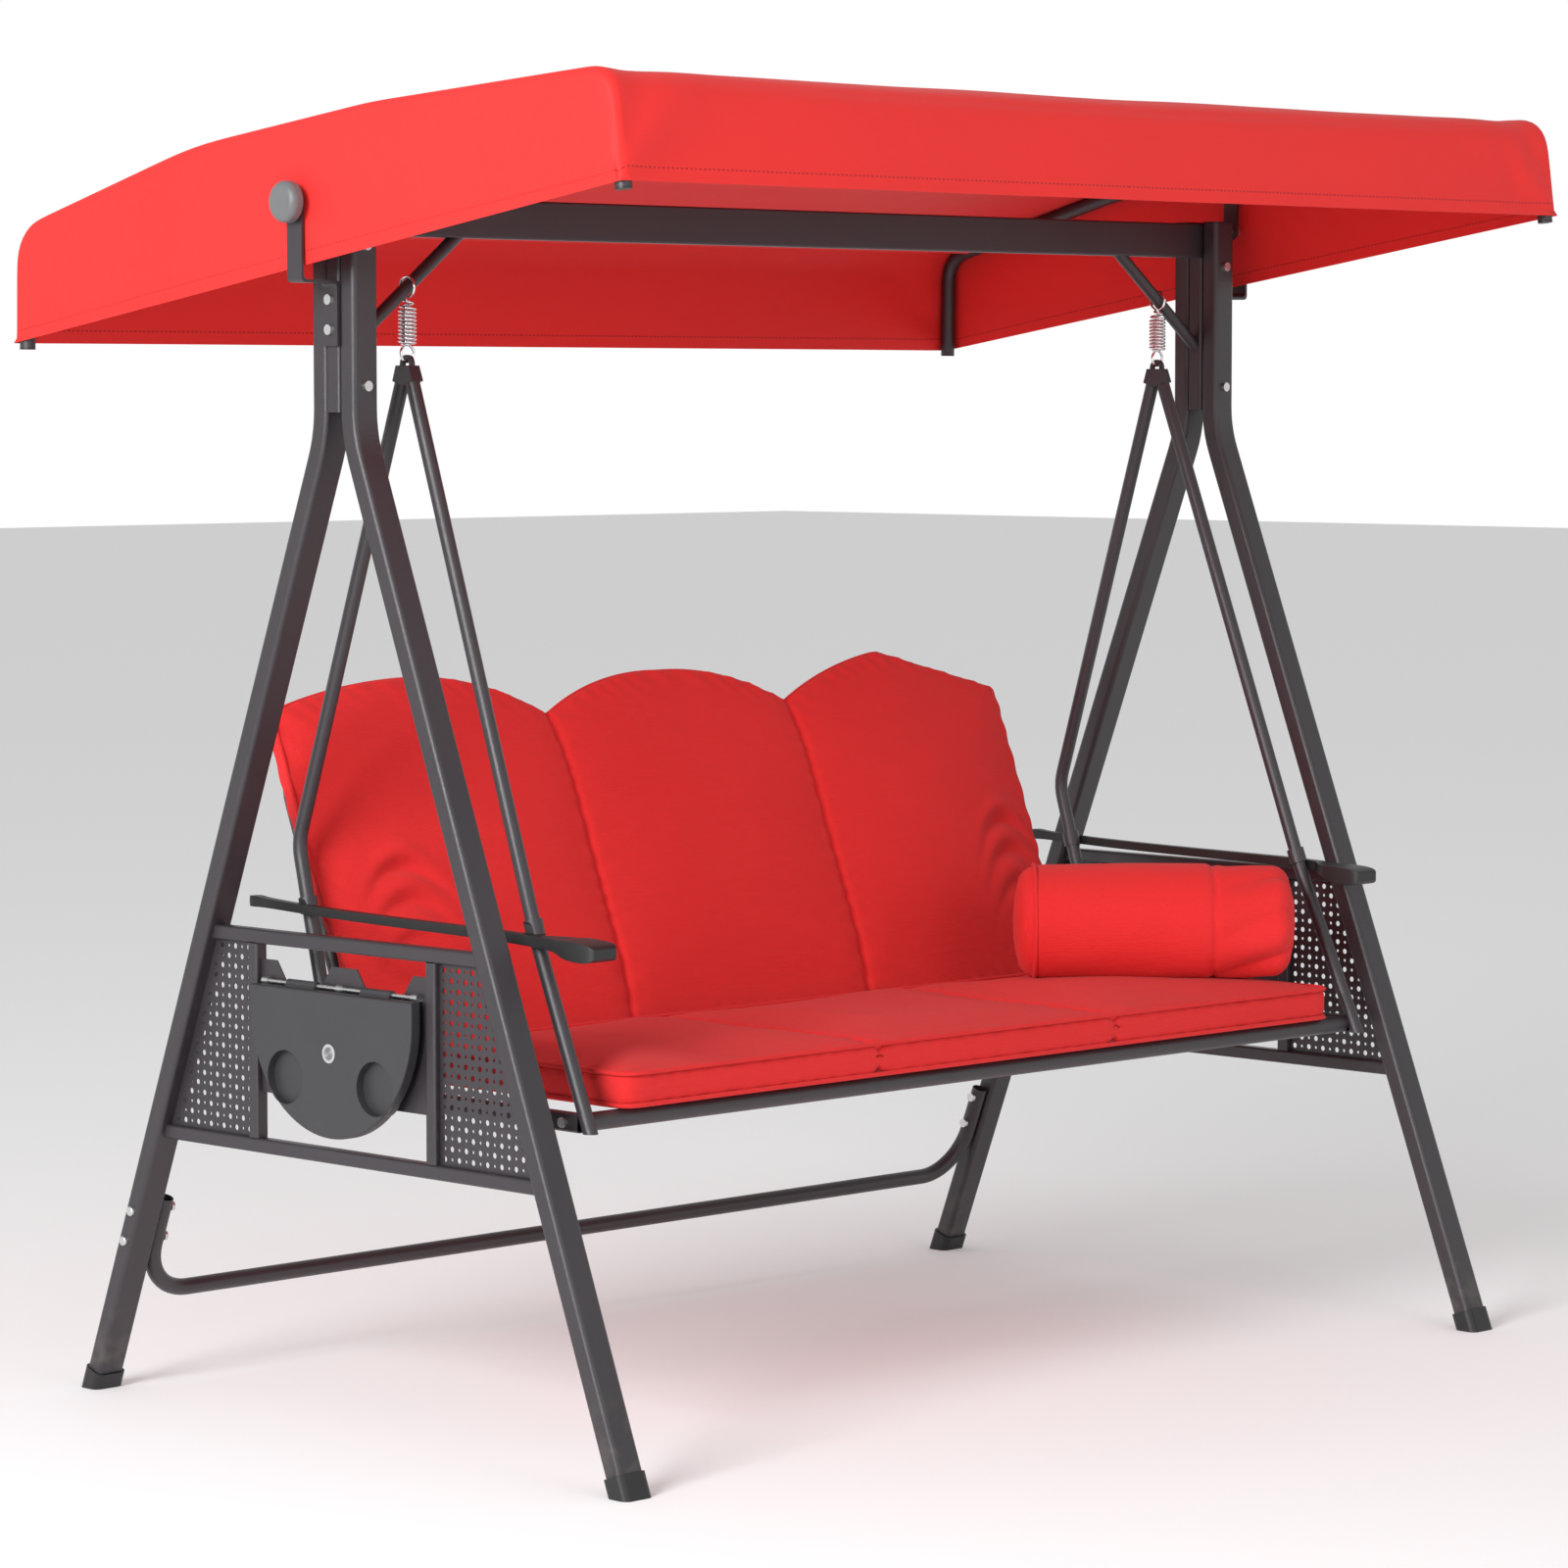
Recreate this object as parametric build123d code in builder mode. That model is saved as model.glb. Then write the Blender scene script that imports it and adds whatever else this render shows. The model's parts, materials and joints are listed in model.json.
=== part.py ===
"""Three-seat canopy glider swing, in millimetres.

+X runs along the crossbeam, the sitters face -Y, +Z is up. The origin is on the floor, under the
middle of the object. Every piece is its own solid; mirrored pairs on one body share a node.
"""

from build123d import *
from math import atan, cos, degrees, hypot, radians, sin, tan
import os

os.makedirs("parts", exist_ok=True)

# ------------------------------------------------------------------ driving dimensions
# A-frames
leg_plane_x = 880.0        # middle of each A-frame, from the centre line
foot_span = 1100.0         # between the leg centre lines on the floor, front to back
post_top_z = 1679.0        # top of the upright pair
splay_drop = 319.0         # from the post top down to where the legs turn from upright to splayed
leg_across = 44.0          # tube size along X
leg_deep = 30.0            # tube size in the plane of the A-frame
leg_wall = 1.6
leg_corner = 7.0
leg_bend = 190.0
post_gap = 27.0            # between the upright pair, filled by the crossbeam and the spacer
spacer_above_splay = 30.0
spacer_corner = 5.0
sole = 5.0                 # plastic under the end of each leg
foot_wall = 3.5
foot_high = 30.0
cap_thick = 3.0            # plastic caps that close the tube ends

# Crossbeam and its two braces
beam_high = 53.0
beam_wall = 1.8
beam_corner = 3.0
brace_diameter = 18.0
brace_wall = 1.5
brace_foot_drop = 189.0    # from the post top down to where the brace meets the post
brace_angle = 38.0         # above level

# Bolts
bolt_diameter = 8.0
bolt_slack = 0.2           # radial, in the holes that only hold a bolt
head_diameter = 14.0
head_high = 5.0
post_bolt_drops = (67.0, 254.0)   # below the post top

# Rear crossbar
crossbar_diameter = 24.0
crossbar_wall = 1.5
crossbar_z = 137.0
crossbar_end_z = 280.0
crossbar_bend = 80.0
crossbar_bolt_drops = (14.0, 58.0)   # below the crossbar's ends

# Side panels between the legs
panel_rail = 20.0
panel_rail_wall = 1.2
panel_rail_corner = 4.0
panel_top_z = 673.0
panel_bottom_z = 384.0
panel_mid_y = 8.5
panel_post_spread = 369.0
sheet_thick = 1.5
hole_pitch = 14.0
hole_diameter = 8.0
small_hole_diameter = 4.6
sheet_margin = 9.0         # unpunched border, to the centre of the nearest hole

# Drop-leaf side tables
table_wide = 334.0
table_high = 198.0
table_thick = 16.0
table_face = 3.0
table_wall = 2.5
table_gap = 2.0            # between the leaf and the faces of the panel rails
hinge_drop = 59.0          # from the middle of the top rail down to the hinge line
hinge_pin_diameter = 6.0
hinge_run_clearance = 0.05
hinge_knuckle_wall = 3.0
hinge_ear_wall = 2.0
hinge_ear_tuck = 1.0       # how far the leaf's top edge tucks in under the round of the ears
knuckle_gap = 1.0          # between the knuckles and the backboard
cup_diameter = 74.0
cup_depth = 12.0
cup_spread = 186.0
cup_drop = 126.0           # from the hinge line to the middle of the cups
badge_diameter = 26.0
badge_thick = 1.5
badge_drop = 86.0
backboard_thick = 2.0
backboard_drop = 156.0     # from the hinge line to the backboard's lower edge
tab_high = 28.0
tab_slope = 20.0
end_tab_wide = 33.0
middle_tab_wide = 52.0

# Springs and their hooks
hook_inset = 88.0          # from the inner face of the posts to the hooks
spring_wire = 4.0
spring_diameter = 26.0
spring_top_drop = 149.0    # from the post top down to the top of the coil
spring_long = 46.0
spring_pitch = 4.9
ring_clearance = 1.0       # between the top hook and the brace that it hangs on
low_ring_radius = 11.0

# Hangers, seat frame and back frame
hanger_apex_drop = 23.0    # from the end of the coil to where the hangers' lines meet
hanger_spread = 25.0       # how much further out the hangers stand at the seat than at the hooks
hanger_diameter = 20.0
hanger_wall = 1.5
head_tube_gap = 3.06       # between the ends of the two tubes, inside the head
front_knee = (-278.5, 690.0)
front_foot_y = -381.0
rear_shoulder = (215.0, 794.0)
rear_knee = (161.0, 596.0)
rear_foot_y = 112.0
seat_rail_z = 459.0
seat_rail_diameter = 25.0
seat_rail_wall = 1.5
front_rail_y = -365.0
rear_rail_y = 150.0
side_rail_wide = 20.0
side_rail_high = 25.0
slat_diameter = 14.0
slat_wall = 1.2
seat_slat_spacing = 290.0
seat_slat_count = 5
recline = 21.6             # of the back, from upright
hoop_diameter = 22.0
hoop_wall = 1.5
hoop_inset = 70.0          # from the hangers' line to the hoop's centre line
hoop_high = 500.0
hoop_bend = 90.0
back_slat_heights = (130.0, 255.0, 380.0)

# Armrests
armrest_z = 709.0
armrest_front_y = -409.0
armrest_rear_y = 283.0
armrest_wide = 16.0
armrest_high = 20.0
arm_pad_long = 112.0
arm_pad_wide = 50.0
arm_pad_high = 26.0
clamp_wall = 3.0
clamp_long = 22.0

# Cushions
cushion_gap = 0.4          # between a cushion and the frame that it rests on
seat_cushion_side_gap = 50.0   # to the hanger tubes
seat_cushion_front_y = -388.0
seat_back_gap = 6.9        # between the seat cushion and the lower edge of the back cushion
seat_cushion_thick = 58.0
back_cushion_inset = 21.0  # from the hoop's centre line
back_cushion_thick = 72.0
back_cushion_bottom = 12.0
back_shoulder = 486.0
back_peak = 564.0
back_peak_x = 470.0
back_valley = 506.0
back_seam_x = 246.0
back_dome = 555.0
bolster_diameter = 178.0
bolster_long = 420.0
bolster_inset = 185.0      # from the end of the seat cushion to the middle of the bolster
bolster_y = -190.0
bolster_turn = -45.0

# Canopy
canopy_overhang = 57.0     # past the outer face of the posts
canopy_half_deep = 625.0
fabric_thick = 2.0
canopy_rear_hem_rise = -193.0   # heights of the canopy are measured from the post top
canopy_front_hem_rise = 1.0
canopy_rear_corner_y, canopy_rear_corner_rise = 622.0, -32.0
canopy_rear_slope_y, canopy_rear_slope_rise = 231.0, 71.0
canopy_front_slope_y, canopy_front_slope_rise = -137.0, 117.0
canopy_front_corner_y, canopy_front_corner_rise = -605.0, 148.0
canopy_bends = (60.0, 900.0, 900.0, 42.0)
canopy_rail_diameter = 22.0
canopy_rail_wall = 1.3
canopy_fabric_gap = 0.5
canopy_rail_side_gap = 1.0   # between a side rail and the side valance
canopy_rail_past_hem = 6.0
cross_tube_diameter = 19.0
pivot_drop = 11.0          # below the post top
strut_wide = 26.0
strut_thick = 5.0
bracket_wide = 30.0
bracket_thick = 4.0
bracket_shelf_drop = 113.0   # from the post top to the level stretch that passes under the valance
bracket_tail_drop = 201.0
bracket_bend = 7.0
bracket_clear = 4.0        # between the valance and the bracket outside it
bracket_bolt_drops = (139.0, 179.0)
pivot_collar_diameter = 13.0
valance_hole_diameter = 18.0
running_clearance = 0.05
side_play = 0.4
knob_diameter = 56.0
knob_thick = 18.0
knob_hub_diameter = 28.0
knob_hub_thick = 7.0

# ------------------------------------------------------------------ sizes worked out from them
post_y = (post_gap + leg_deep) / 2
foot_y = foot_span / 2
splay_z = post_top_z - splay_drop
spacer_bottom_z = splay_z + spacer_above_splay
lean = degrees(atan((foot_y - post_y) / splay_z))
beam_bottom_z = post_top_z - beam_high
beam_mid_z = post_top_z - beam_high / 2
post_inner_x = leg_plane_x - leg_across / 2
post_outer_x = leg_plane_x + leg_across / 2
bolt_radius = bolt_diameter / 2
head_radius = head_diameter / 2
post_bolt_heights = [post_top_z - drop for drop in post_bolt_drops]
bracket_bolt_heights = [post_top_z - drop for drop in bracket_bolt_drops]
crossbar_bolt_heights = [crossbar_end_z - drop for drop in crossbar_bolt_drops]
brace_low_z = post_top_z - brace_foot_drop
pivot_z = post_top_z - pivot_drop

# The bench hangs between the posts, and the canopy reaches past them.
hook_x = post_inner_x - hook_inset
spring_top_z = post_top_z - spring_top_drop
spring_bottom_z = spring_top_z - spring_long
hanger_apex_z = spring_bottom_z - hanger_apex_drop
hanger_low_x = hook_x + hanger_spread
hoop_half_wide = hanger_low_x - hoop_inset
seat_cushion_half_wide = hanger_low_x - hanger_diameter / 2 - seat_cushion_side_gap
back_cushion_half_wide = hoop_half_wide - back_cushion_inset
canopy_half_wide = post_outer_x + canopy_overhang
canopy_rail_x = canopy_half_wide - fabric_thick - canopy_rail_side_gap - canopy_rail_diameter / 2
sides = (("left", -1), ("right", 1))
ends = (("front", -1), ("rear", 1))


def leg_y(z):
    """Distance of a leg's centre line from the middle, below the bend."""
    return foot_y - z * tan(radians(lean))


def save(builder, name):
    """Label a finished piece and write its STEP file."""
    builder.part.label = name
    export_step(builder.part, f"parts/{name}.step")
    print(f"{name}: {len(builder.part.solids())} solid(s)")


def round_tube(points, bends, diameter, wall=0.0):
    """A tube of round section along straight runs joined by arcs. No wall means solid."""
    with BuildPart() as tube:
        with BuildLine() as run:
            if len(points) == 2:
                Line(*points)
            else:
                FilletPolyline(*points, radius=bends)
        with BuildSketch(Plane(origin=run.line @ 0, z_dir=run.line % 0)):
            Circle(diameter / 2)
            if wall:
                Circle(diameter / 2 - wall, mode=Mode.SUBTRACT)
        sweep()
    return tube


def leg_shape(side, end, wall):
    """One leg, from below the floor line to the top of its post. No wall means solid."""
    below = -60.0
    x = side * leg_plane_x
    route = [(x, end * leg_y(below), below), (x, end * post_y, splay_z), (x, end * post_y, post_top_z)]
    with BuildPart() as shape:
        with BuildLine() as run:
            FilletPolyline(*route, radius=leg_bend)
        with BuildSketch(Plane(origin=run.line @ 0, x_dir=(1, 0, 0), z_dir=run.line % 0)):
            RectangleRounded(leg_across, leg_deep, leg_corner)
            if wall:
                RectangleRounded(leg_across - 2 * wall, leg_deep - 2 * wall, leg_corner - wall,
                                 mode=Mode.SUBTRACT)
        sweep()
        split(bisect_by=Plane.XY.offset(sole), keep=Keep.TOP)
    return shape


# ------------------------------------------------------------------ legs and feet
leg_solids = {}
for side_name, side in sides:
    for end_name, end in ends:
        leg_solids[side, end] = leg_shape(side, end, 0).part
        hollow_leg = leg_shape(side, end, leg_wall).part
        with BuildPart() as leg:
            add(hollow_leg)
            with Locations(*[(side * leg_plane_x, end * post_y, z) for z in post_bolt_heights]):
                Cylinder(bolt_radius + bolt_slack, leg_deep * 2, rotation=(90, 0, 0), mode=Mode.SUBTRACT)
            if end > 0:
                with Locations(*[(side * leg_plane_x, leg_y(z), z) for z in crossbar_bolt_heights]):
                    Cylinder(bolt_radius + bolt_slack, leg_across * 2, rotation=(0, 90, 0),
                             mode=Mode.SUBTRACT)
        save(leg, f"{side_name}_{end_name}_leg")

with BuildPart() as feet:
    for _, side in sides:
        for _, end in ends:
            start = (side * leg_plane_x, end * leg_y(-60), -60)
            up = (0, -end * sin(radians(lean)), cos(radians(lean)))
            with BuildSketch(Plane(origin=start, x_dir=(1, 0, 0), z_dir=up)):
                RectangleRounded(leg_across + 2 * foot_wall, leg_deep + 2 * foot_wall,
                                 leg_corner + foot_wall)
            extrude(amount=60 / cos(radians(lean)) + foot_high)
    split(bisect_by=Plane.XY, keep=Keep.TOP)
    for solid in leg_solids.values():
        add(solid, mode=Mode.SUBTRACT)
save(feet, "foot_caps")

# ------------------------------------------------------------------ crossbeam, spacers, braces
with BuildPart() as crossbeam:
    with BuildSketch(Plane.YZ.offset(-post_outer_x)):
        with Locations((0, beam_mid_z)):
            RectangleRounded(post_gap, beam_high, beam_corner)
            RectangleRounded(post_gap - 2 * beam_wall, beam_high - 2 * beam_wall, beam_corner - beam_wall,
                             mode=Mode.SUBTRACT)
    extrude(amount=2 * post_outer_x)
save(crossbeam, "crossbeam")

with BuildPart() as spacers:
    with BuildSketch(Plane.XY.offset(spacer_bottom_z)):
        with Locations((leg_plane_x, 0)):
            RectangleRounded(leg_across, post_gap, spacer_corner)
            RectangleRounded(leg_across - 2 * leg_wall, post_gap - 2 * leg_wall, spacer_corner - leg_wall,
                             mode=Mode.SUBTRACT)
    extrude(amount=beam_bottom_z - spacer_bottom_z)
    with Locations(*[(leg_plane_x, 0, z) for z in post_bolt_heights]):
        Cylinder(bolt_radius + bolt_slack, post_gap * 2, rotation=(90, 0, 0), mode=Mode.SUBTRACT)
    with Locations(*[(post_outer_x, 0, z) for z in bracket_bolt_heights]):
        Cylinder(bolt_radius + bolt_slack, leg_across, rotation=(0, 90, 0), mode=Mode.SUBTRACT)
    mirror(about=Plane.YZ)
save(spacers, "post_spacers")

with BuildPart() as tube_caps:
    with BuildSketch(Plane.XY.offset(post_top_z)):
        with Locations((leg_plane_x, post_y), (leg_plane_x, -post_y)):
            RectangleRounded(leg_across, leg_deep, leg_corner)
    extrude(amount=cap_thick)
    with BuildSketch(Plane.YZ.offset(post_outer_x)):
        with Locations((0, beam_mid_z)):
            RectangleRounded(post_gap, beam_high, beam_corner)
    extrude(amount=cap_thick)
    mirror(about=Plane.YZ)
save(tube_caps, "frame_tube_caps")

brace_rise = tan(radians(brace_angle))
brace_half_height = brace_diameter / 2 / cos(radians(brace_angle))
hook_z = brace_low_z + (post_inner_x - hook_x) * brace_rise
brace_top_x = post_inner_x - (beam_bottom_z - brace_low_z) / brace_rise
brace_over = 20.0
brace_run = [
    (post_inner_x + brace_over, 0, brace_low_z - brace_over * brace_rise),
    (brace_top_x - brace_over, 0, beam_bottom_z + brace_over * brace_rise),
]
brace_tube = round_tube(brace_run, None, brace_diameter, brace_wall).part
with BuildPart() as braces:
    add(brace_tube)
    with Locations((post_inner_x + leg_across / 2, 0, brace_low_z)):
        Box(leg_across, post_gap, beam_high * 4, mode=Mode.SUBTRACT)
    with Locations((brace_top_x, 0, beam_mid_z)):
        Box(leg_plane_x, post_gap, beam_high, mode=Mode.SUBTRACT)
    mirror(about=Plane.YZ)
save(braces, "beam_braces")


# ------------------------------------------------------------------ rear crossbar
crossbar_x = post_inner_x - crossbar_diameter / 2
crossbar_corners = ((-1, crossbar_end_z), (-1, crossbar_z), (1, crossbar_z), (1, crossbar_end_z))
crossbar_points = [(side * crossbar_x, leg_y(z), z) for side, z in crossbar_corners]
crossbar_tube = round_tube(crossbar_points, crossbar_bend, crossbar_diameter, crossbar_wall).part
with BuildPart() as rear_crossbar:
    add(crossbar_tube)
    with Locations(*[(side * crossbar_x, leg_y(z), z) for _, side in sides for z in crossbar_bolt_heights]):
        Cylinder(bolt_radius + bolt_slack, crossbar_diameter * 2, rotation=(0, 90, 0), mode=Mode.SUBTRACT)
save(rear_crossbar, "rear_crossbar")

# Each bolt runs from the inner side of the crossbar to the outer face of the leg.
crossbar_grip = crossbar_diameter + leg_across
crossbar_bolt_x = post_outer_x - crossbar_grip / 2
with BuildPart() as crossbar_bolts:
    for z in crossbar_bolt_heights:
        with Locations((crossbar_bolt_x, leg_y(z), z)):
            Cylinder(bolt_radius, crossbar_grip, rotation=(0, 90, 0))
        with Locations((crossbar_bolt_x - (crossbar_grip + head_high) / 2, leg_y(z), z),
                       (crossbar_bolt_x + (crossbar_grip + head_high) / 2, leg_y(z), z)):
            Cylinder(head_radius, head_high, rotation=(0, 90, 0))
    fillet(crossbar_bolts.edges().filter_by(GeomType.CIRCLE).group_by(Axis.X)[-1], 2.0)
    mirror(about=Plane.YZ)
save(crossbar_bolts, "crossbar_bolts")

# ------------------------------------------------------------------ bolts of the posts and brackets
post_grip = post_gap + 2 * leg_deep
post_head_y = (post_grip + head_high) / 2
bracket_face_x = post_outer_x + bracket_thick
bracket_bolt_reach = leg_across / 3      # from the bracket's face into the spacer
with BuildPart() as frame_bolts:
    for z in post_bolt_heights:
        with Locations((leg_plane_x, 0, z)):
            Cylinder(bolt_radius, post_grip, rotation=(90, 0, 0))
        with Locations((leg_plane_x, -post_head_y, z), (leg_plane_x, post_head_y, z)):
            Cylinder(head_radius, head_high, rotation=(90, 0, 0))
    for z in bracket_bolt_heights:
        with Locations((bracket_face_x - bracket_bolt_reach / 2, 0, z)):
            Cylinder(bolt_radius, bracket_bolt_reach, rotation=(0, 90, 0))
        with Locations((bracket_face_x + head_high / 2, 0, z)):
            Cylinder(head_radius, head_high, rotation=(0, 90, 0))
    mirror(about=Plane.YZ)
save(frame_bolts, "frame_bolts")

# ------------------------------------------------------------------ side panels
rail_half = panel_rail / 2
panel_post_y = (panel_mid_y - panel_post_spread / 2, panel_mid_y + panel_post_spread / 2)
leg_half_level = leg_deep / 2 / cos(radians(lean))   # half of the leg's depth, measured level


def square_tube(plane, length):
    """Panel rail stock, centred on the plane and extruded along its normal."""
    with BuildPart() as tube:
        with BuildSketch(plane):
            RectangleRounded(panel_rail, panel_rail, panel_rail_corner)
            RectangleRounded(panel_rail - 2 * panel_rail_wall, panel_rail - 2 * panel_rail_wall,
                             panel_rail_corner - panel_rail_wall, mode=Mode.SUBTRACT)
        extrude(amount=length)
    return tube.part


def punched_sheet(x, end):
    """Trapezoid sheet between a panel post and a leg, with large and small holes in turn."""
    low = panel_bottom_z + rail_half
    high = panel_top_z - rail_half
    inner = end * (panel_post_y[0] if end < 0 else panel_post_y[1]) + rail_half
    outer_low = leg_y(low) - leg_half_level
    outer_high = leg_y(high) - leg_half_level
    large, small = [], []
    for row in range(int((high - low) / hole_pitch)):
        z = low + sheet_margin + row * hole_pitch
        reach = leg_y(z) - leg_half_level - sheet_margin
        for column in range(int((reach - inner - sheet_margin) / hole_pitch) + 1):
            spot = (end * (inner + sheet_margin + column * hole_pitch), z)
            (large if (row + column) % 2 == 0 else small).append(spot)
    with BuildPart() as sheet:
        with BuildSketch(Plane.YZ.offset(x - sheet_thick / 2)):
            Polygon((end * inner, low), (end * outer_low, low), (end * outer_high, high), (end * inner, high),
                    align=None)
            with Locations(*large):
                Circle(hole_diameter / 2, mode=Mode.SUBTRACT)
            with Locations(*small):
                Circle(small_hole_diameter / 2, mode=Mode.SUBTRACT)
        extrude(amount=sheet_thick)
    return sheet.part


for side_name, side in sides:
    x = side * leg_plane_x
    rail_stock = [square_tube(Plane(origin=(x, -leg_y(z), z), x_dir=(1, 0, 0), z_dir=(0, 1, 0)), 2 * leg_y(z))
                  for z in (panel_top_z, panel_bottom_z)]
    with BuildPart() as rails:
        for rail in rail_stock:
            add(rail)
        add(leg_solids[side, -1], mode=Mode.SUBTRACT)
        add(leg_solids[side, 1], mode=Mode.SUBTRACT)
    save(rails, f"{side_name}_panel_rails")

    post_high = panel_top_z - panel_bottom_z - panel_rail
    with BuildPart() as panel_posts:
        for y in panel_post_y:
            add(square_tube(Plane(origin=(x, y, panel_bottom_z + rail_half)), post_high))
    save(panel_posts, f"{side_name}_panel_posts")

    with BuildPart() as sheets:
        add(punched_sheet(x, -1))
        add(punched_sheet(x, 1))
    save(sheets, f"{side_name}_perforated_sheets")

# ------------------------------------------------------------------ table backboards and hinges
board_half = panel_post_spread / 2 - rail_half
board_face_x = leg_plane_x + backboard_thick / 2
hinge_pin_radius = hinge_pin_diameter / 2
hinge_knuckle_radius = hinge_pin_radius + hinge_knuckle_wall
hinge_ear_radius = hinge_pin_radius + hinge_ear_wall
leaf_offset = hinge_ear_radius - hinge_ear_tuck      # from the hinge line to the leaf, out and down
hinge_z = panel_top_z - hinge_drop
hinge_x = max(board_face_x + knuckle_gap + hinge_knuckle_radius,
              leg_plane_x + rail_half + table_gap - leaf_offset)
table_inner_x = hinge_x + leaf_offset
table_top_z = hinge_z - leaf_offset
middle_foot = middle_tab_wide / 2 + tab_slope
end_foot = board_half - end_tab_wide - tab_slope
with BuildPart() as backboards:
    with BuildSketch(Plane.YZ.offset(leg_plane_x - backboard_thick / 2)):
        half_outline = [
            (board_half, hinge_z - backboard_drop), (board_half, hinge_z + tab_high),
            (board_half - end_tab_wide, hinge_z + tab_high), (end_foot, hinge_z), (middle_foot, hinge_z),
            (middle_tab_wide / 2, hinge_z + tab_high),
        ]
        outline = half_outline + [(-y, z) for y, z in reversed(half_outline)]
        with Locations((panel_mid_y, 0)):
            Polygon(*outline, align=None)
    extrude(amount=backboard_thick)
    mirror(about=Plane.YZ)
save(backboards, "table_backboards")

ear_wide = 12.0
ear_y = [panel_mid_y + offset_y for offset_y in (-table_wide / 2 + ear_wide, 0, table_wide / 2 - ear_wide)]
ear_reach = hinge_x - board_face_x
with BuildPart() as hinge_pins:
    with Locations((hinge_x, panel_mid_y, hinge_z)):
        Cylinder(hinge_pin_radius, table_wide - ear_wide, rotation=(90, 0, 0))
    with Locations(*[(hinge_x, y, hinge_z) for y in ear_y]):
        Cylinder(hinge_ear_radius, ear_wide, rotation=(90, 0, 0))
    with Locations(*[(hinge_x - ear_reach / 2, y, hinge_z - hinge_ear_radius / 2) for y in ear_y]):
        Box(ear_reach, ear_wide, hinge_ear_radius)
    mirror(about=Plane.YZ)
save(hinge_pins, "table_hinge_pins")

# ------------------------------------------------------------------ side tables
table_arc_z = table_top_z - (table_high - table_wide / 2)
knuckle_wide = 60.0
web_offset = leaf_offset      # middle of the web that joins a knuckle to the leaf
knuckle_y = [(ear_y[0] + ear_y[1]) / 2, (ear_y[1] + ear_y[2]) / 2]
cup_z = hinge_z - cup_drop
cup_spots = [(panel_mid_y + cup_spread / 2, cup_z), (panel_mid_y - cup_spread / 2, cup_z)]


def table_outline(inset):
    """Straight top, half-round bottom, as a face."""
    half = table_wide / 2 - inset
    top = table_top_z - inset
    with BuildSketch() as outline:
        with BuildLine():
            Polyline((panel_mid_y - half, table_arc_z), (panel_mid_y - half, top), (panel_mid_y + half, top),
                     (panel_mid_y + half, table_arc_z))
            ThreePointArc((panel_mid_y + half, table_arc_z), (panel_mid_y, table_arc_z - half),
                          (panel_mid_y - half, table_arc_z))
        make_face()
    return outline.sketch


leaf_outline = table_outline(0)
leaf_hollow = table_outline(table_wall)
for side_name, side in sides:
    with BuildPart() as leaf:
        with BuildSketch(Plane.YZ.offset(table_inner_x)):
            add(leaf_outline)
        extrude(amount=table_thick)
        fillet(leaf.faces().sort_by(Axis.X)[-1].edges(), 3.0)
        with BuildSketch(Plane.YZ.offset(table_inner_x)):
            add(leaf_hollow)
        extrude(amount=table_thick - table_face, mode=Mode.SUBTRACT)
        with BuildSketch(Plane.YZ.offset(table_inner_x + table_thick - cup_depth - table_wall)):
            with Locations(*cup_spots):
                Circle(cup_diameter / 2 + table_wall)
        extrude(amount=cup_depth)
        with BuildSketch(Plane.YZ.offset(table_inner_x + table_thick - cup_depth)):
            with Locations(*cup_spots):
                Circle(cup_diameter / 2)
        extrude(amount=cup_depth + 1, mode=Mode.SUBTRACT)
        for y in knuckle_y:
            with Locations((hinge_x, y, hinge_z)):
                Cylinder(hinge_knuckle_radius, knuckle_wide, rotation=(90, 0, 0))
            with Locations((hinge_x + web_offset, y, hinge_z - web_offset)):
                Box(hinge_knuckle_radius, knuckle_wide, hinge_knuckle_radius)
            with Locations((hinge_x, y, hinge_z)):
                Cylinder(hinge_pin_radius + hinge_run_clearance, knuckle_wide, rotation=(90, 0, 0),
                         mode=Mode.SUBTRACT)
        if side < 0:
            mirror(about=Plane.YZ, mode=Mode.REPLACE)
    save(leaf, f"{side_name}_table_leaf")

    badge_x = side * (table_inner_x + table_thick)
    with BuildPart() as badge:
        with BuildSketch(Plane.YZ.offset(badge_x)):
            with Locations((panel_mid_y, hinge_z - badge_drop)):
                Circle(badge_diameter / 2)
        extrude(amount=side * badge_thick)
    save(badge, f"{side_name}_table_badge")

# ------------------------------------------------------------------ springs and hooks
wire_radius = spring_wire / 2
ring_radius = brace_half_height + ring_clearance + wire_radius
coil_radius = spring_diameter / 2 - wire_radius
with BuildPart() as top_hooks:
    with Locations((hook_x, 0, hook_z)):
        Torus(ring_radius, wire_radius, rotation=(0, 90, 0))
    neck_top = hook_z - ring_radius
    with Locations((hook_x, 0, (neck_top + spring_top_z) / 2)):
        Cylinder(wire_radius, neck_top - spring_top_z)
    with Locations((hook_x, 0, spring_top_z + wire_radius)):
        Cylinder(coil_radius + wire_radius, spring_wire)
    mirror(about=Plane.YZ)
save(top_hooks, "spring_top_hooks")

coil_high = spring_top_z - spring_bottom_z - spring_wire - 2 * running_clearance
with BuildPart() as springs:
    with BuildLine(Plane.XY.offset(spring_bottom_z + wire_radius + running_clearance)) as coil_line:
        Helix(spring_pitch, coil_high, coil_radius)
    with BuildSketch(Plane(origin=coil_line.line @ 0, z_dir=coil_line.line % 0)):
        Circle(wire_radius)
    sweep(is_frenet=True)
coil = springs.part
with BuildPart() as springs:
    with Locations((-hook_x, 0, 0), (hook_x, 0, 0)):
        add(coil)
save(springs, "springs")

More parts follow.
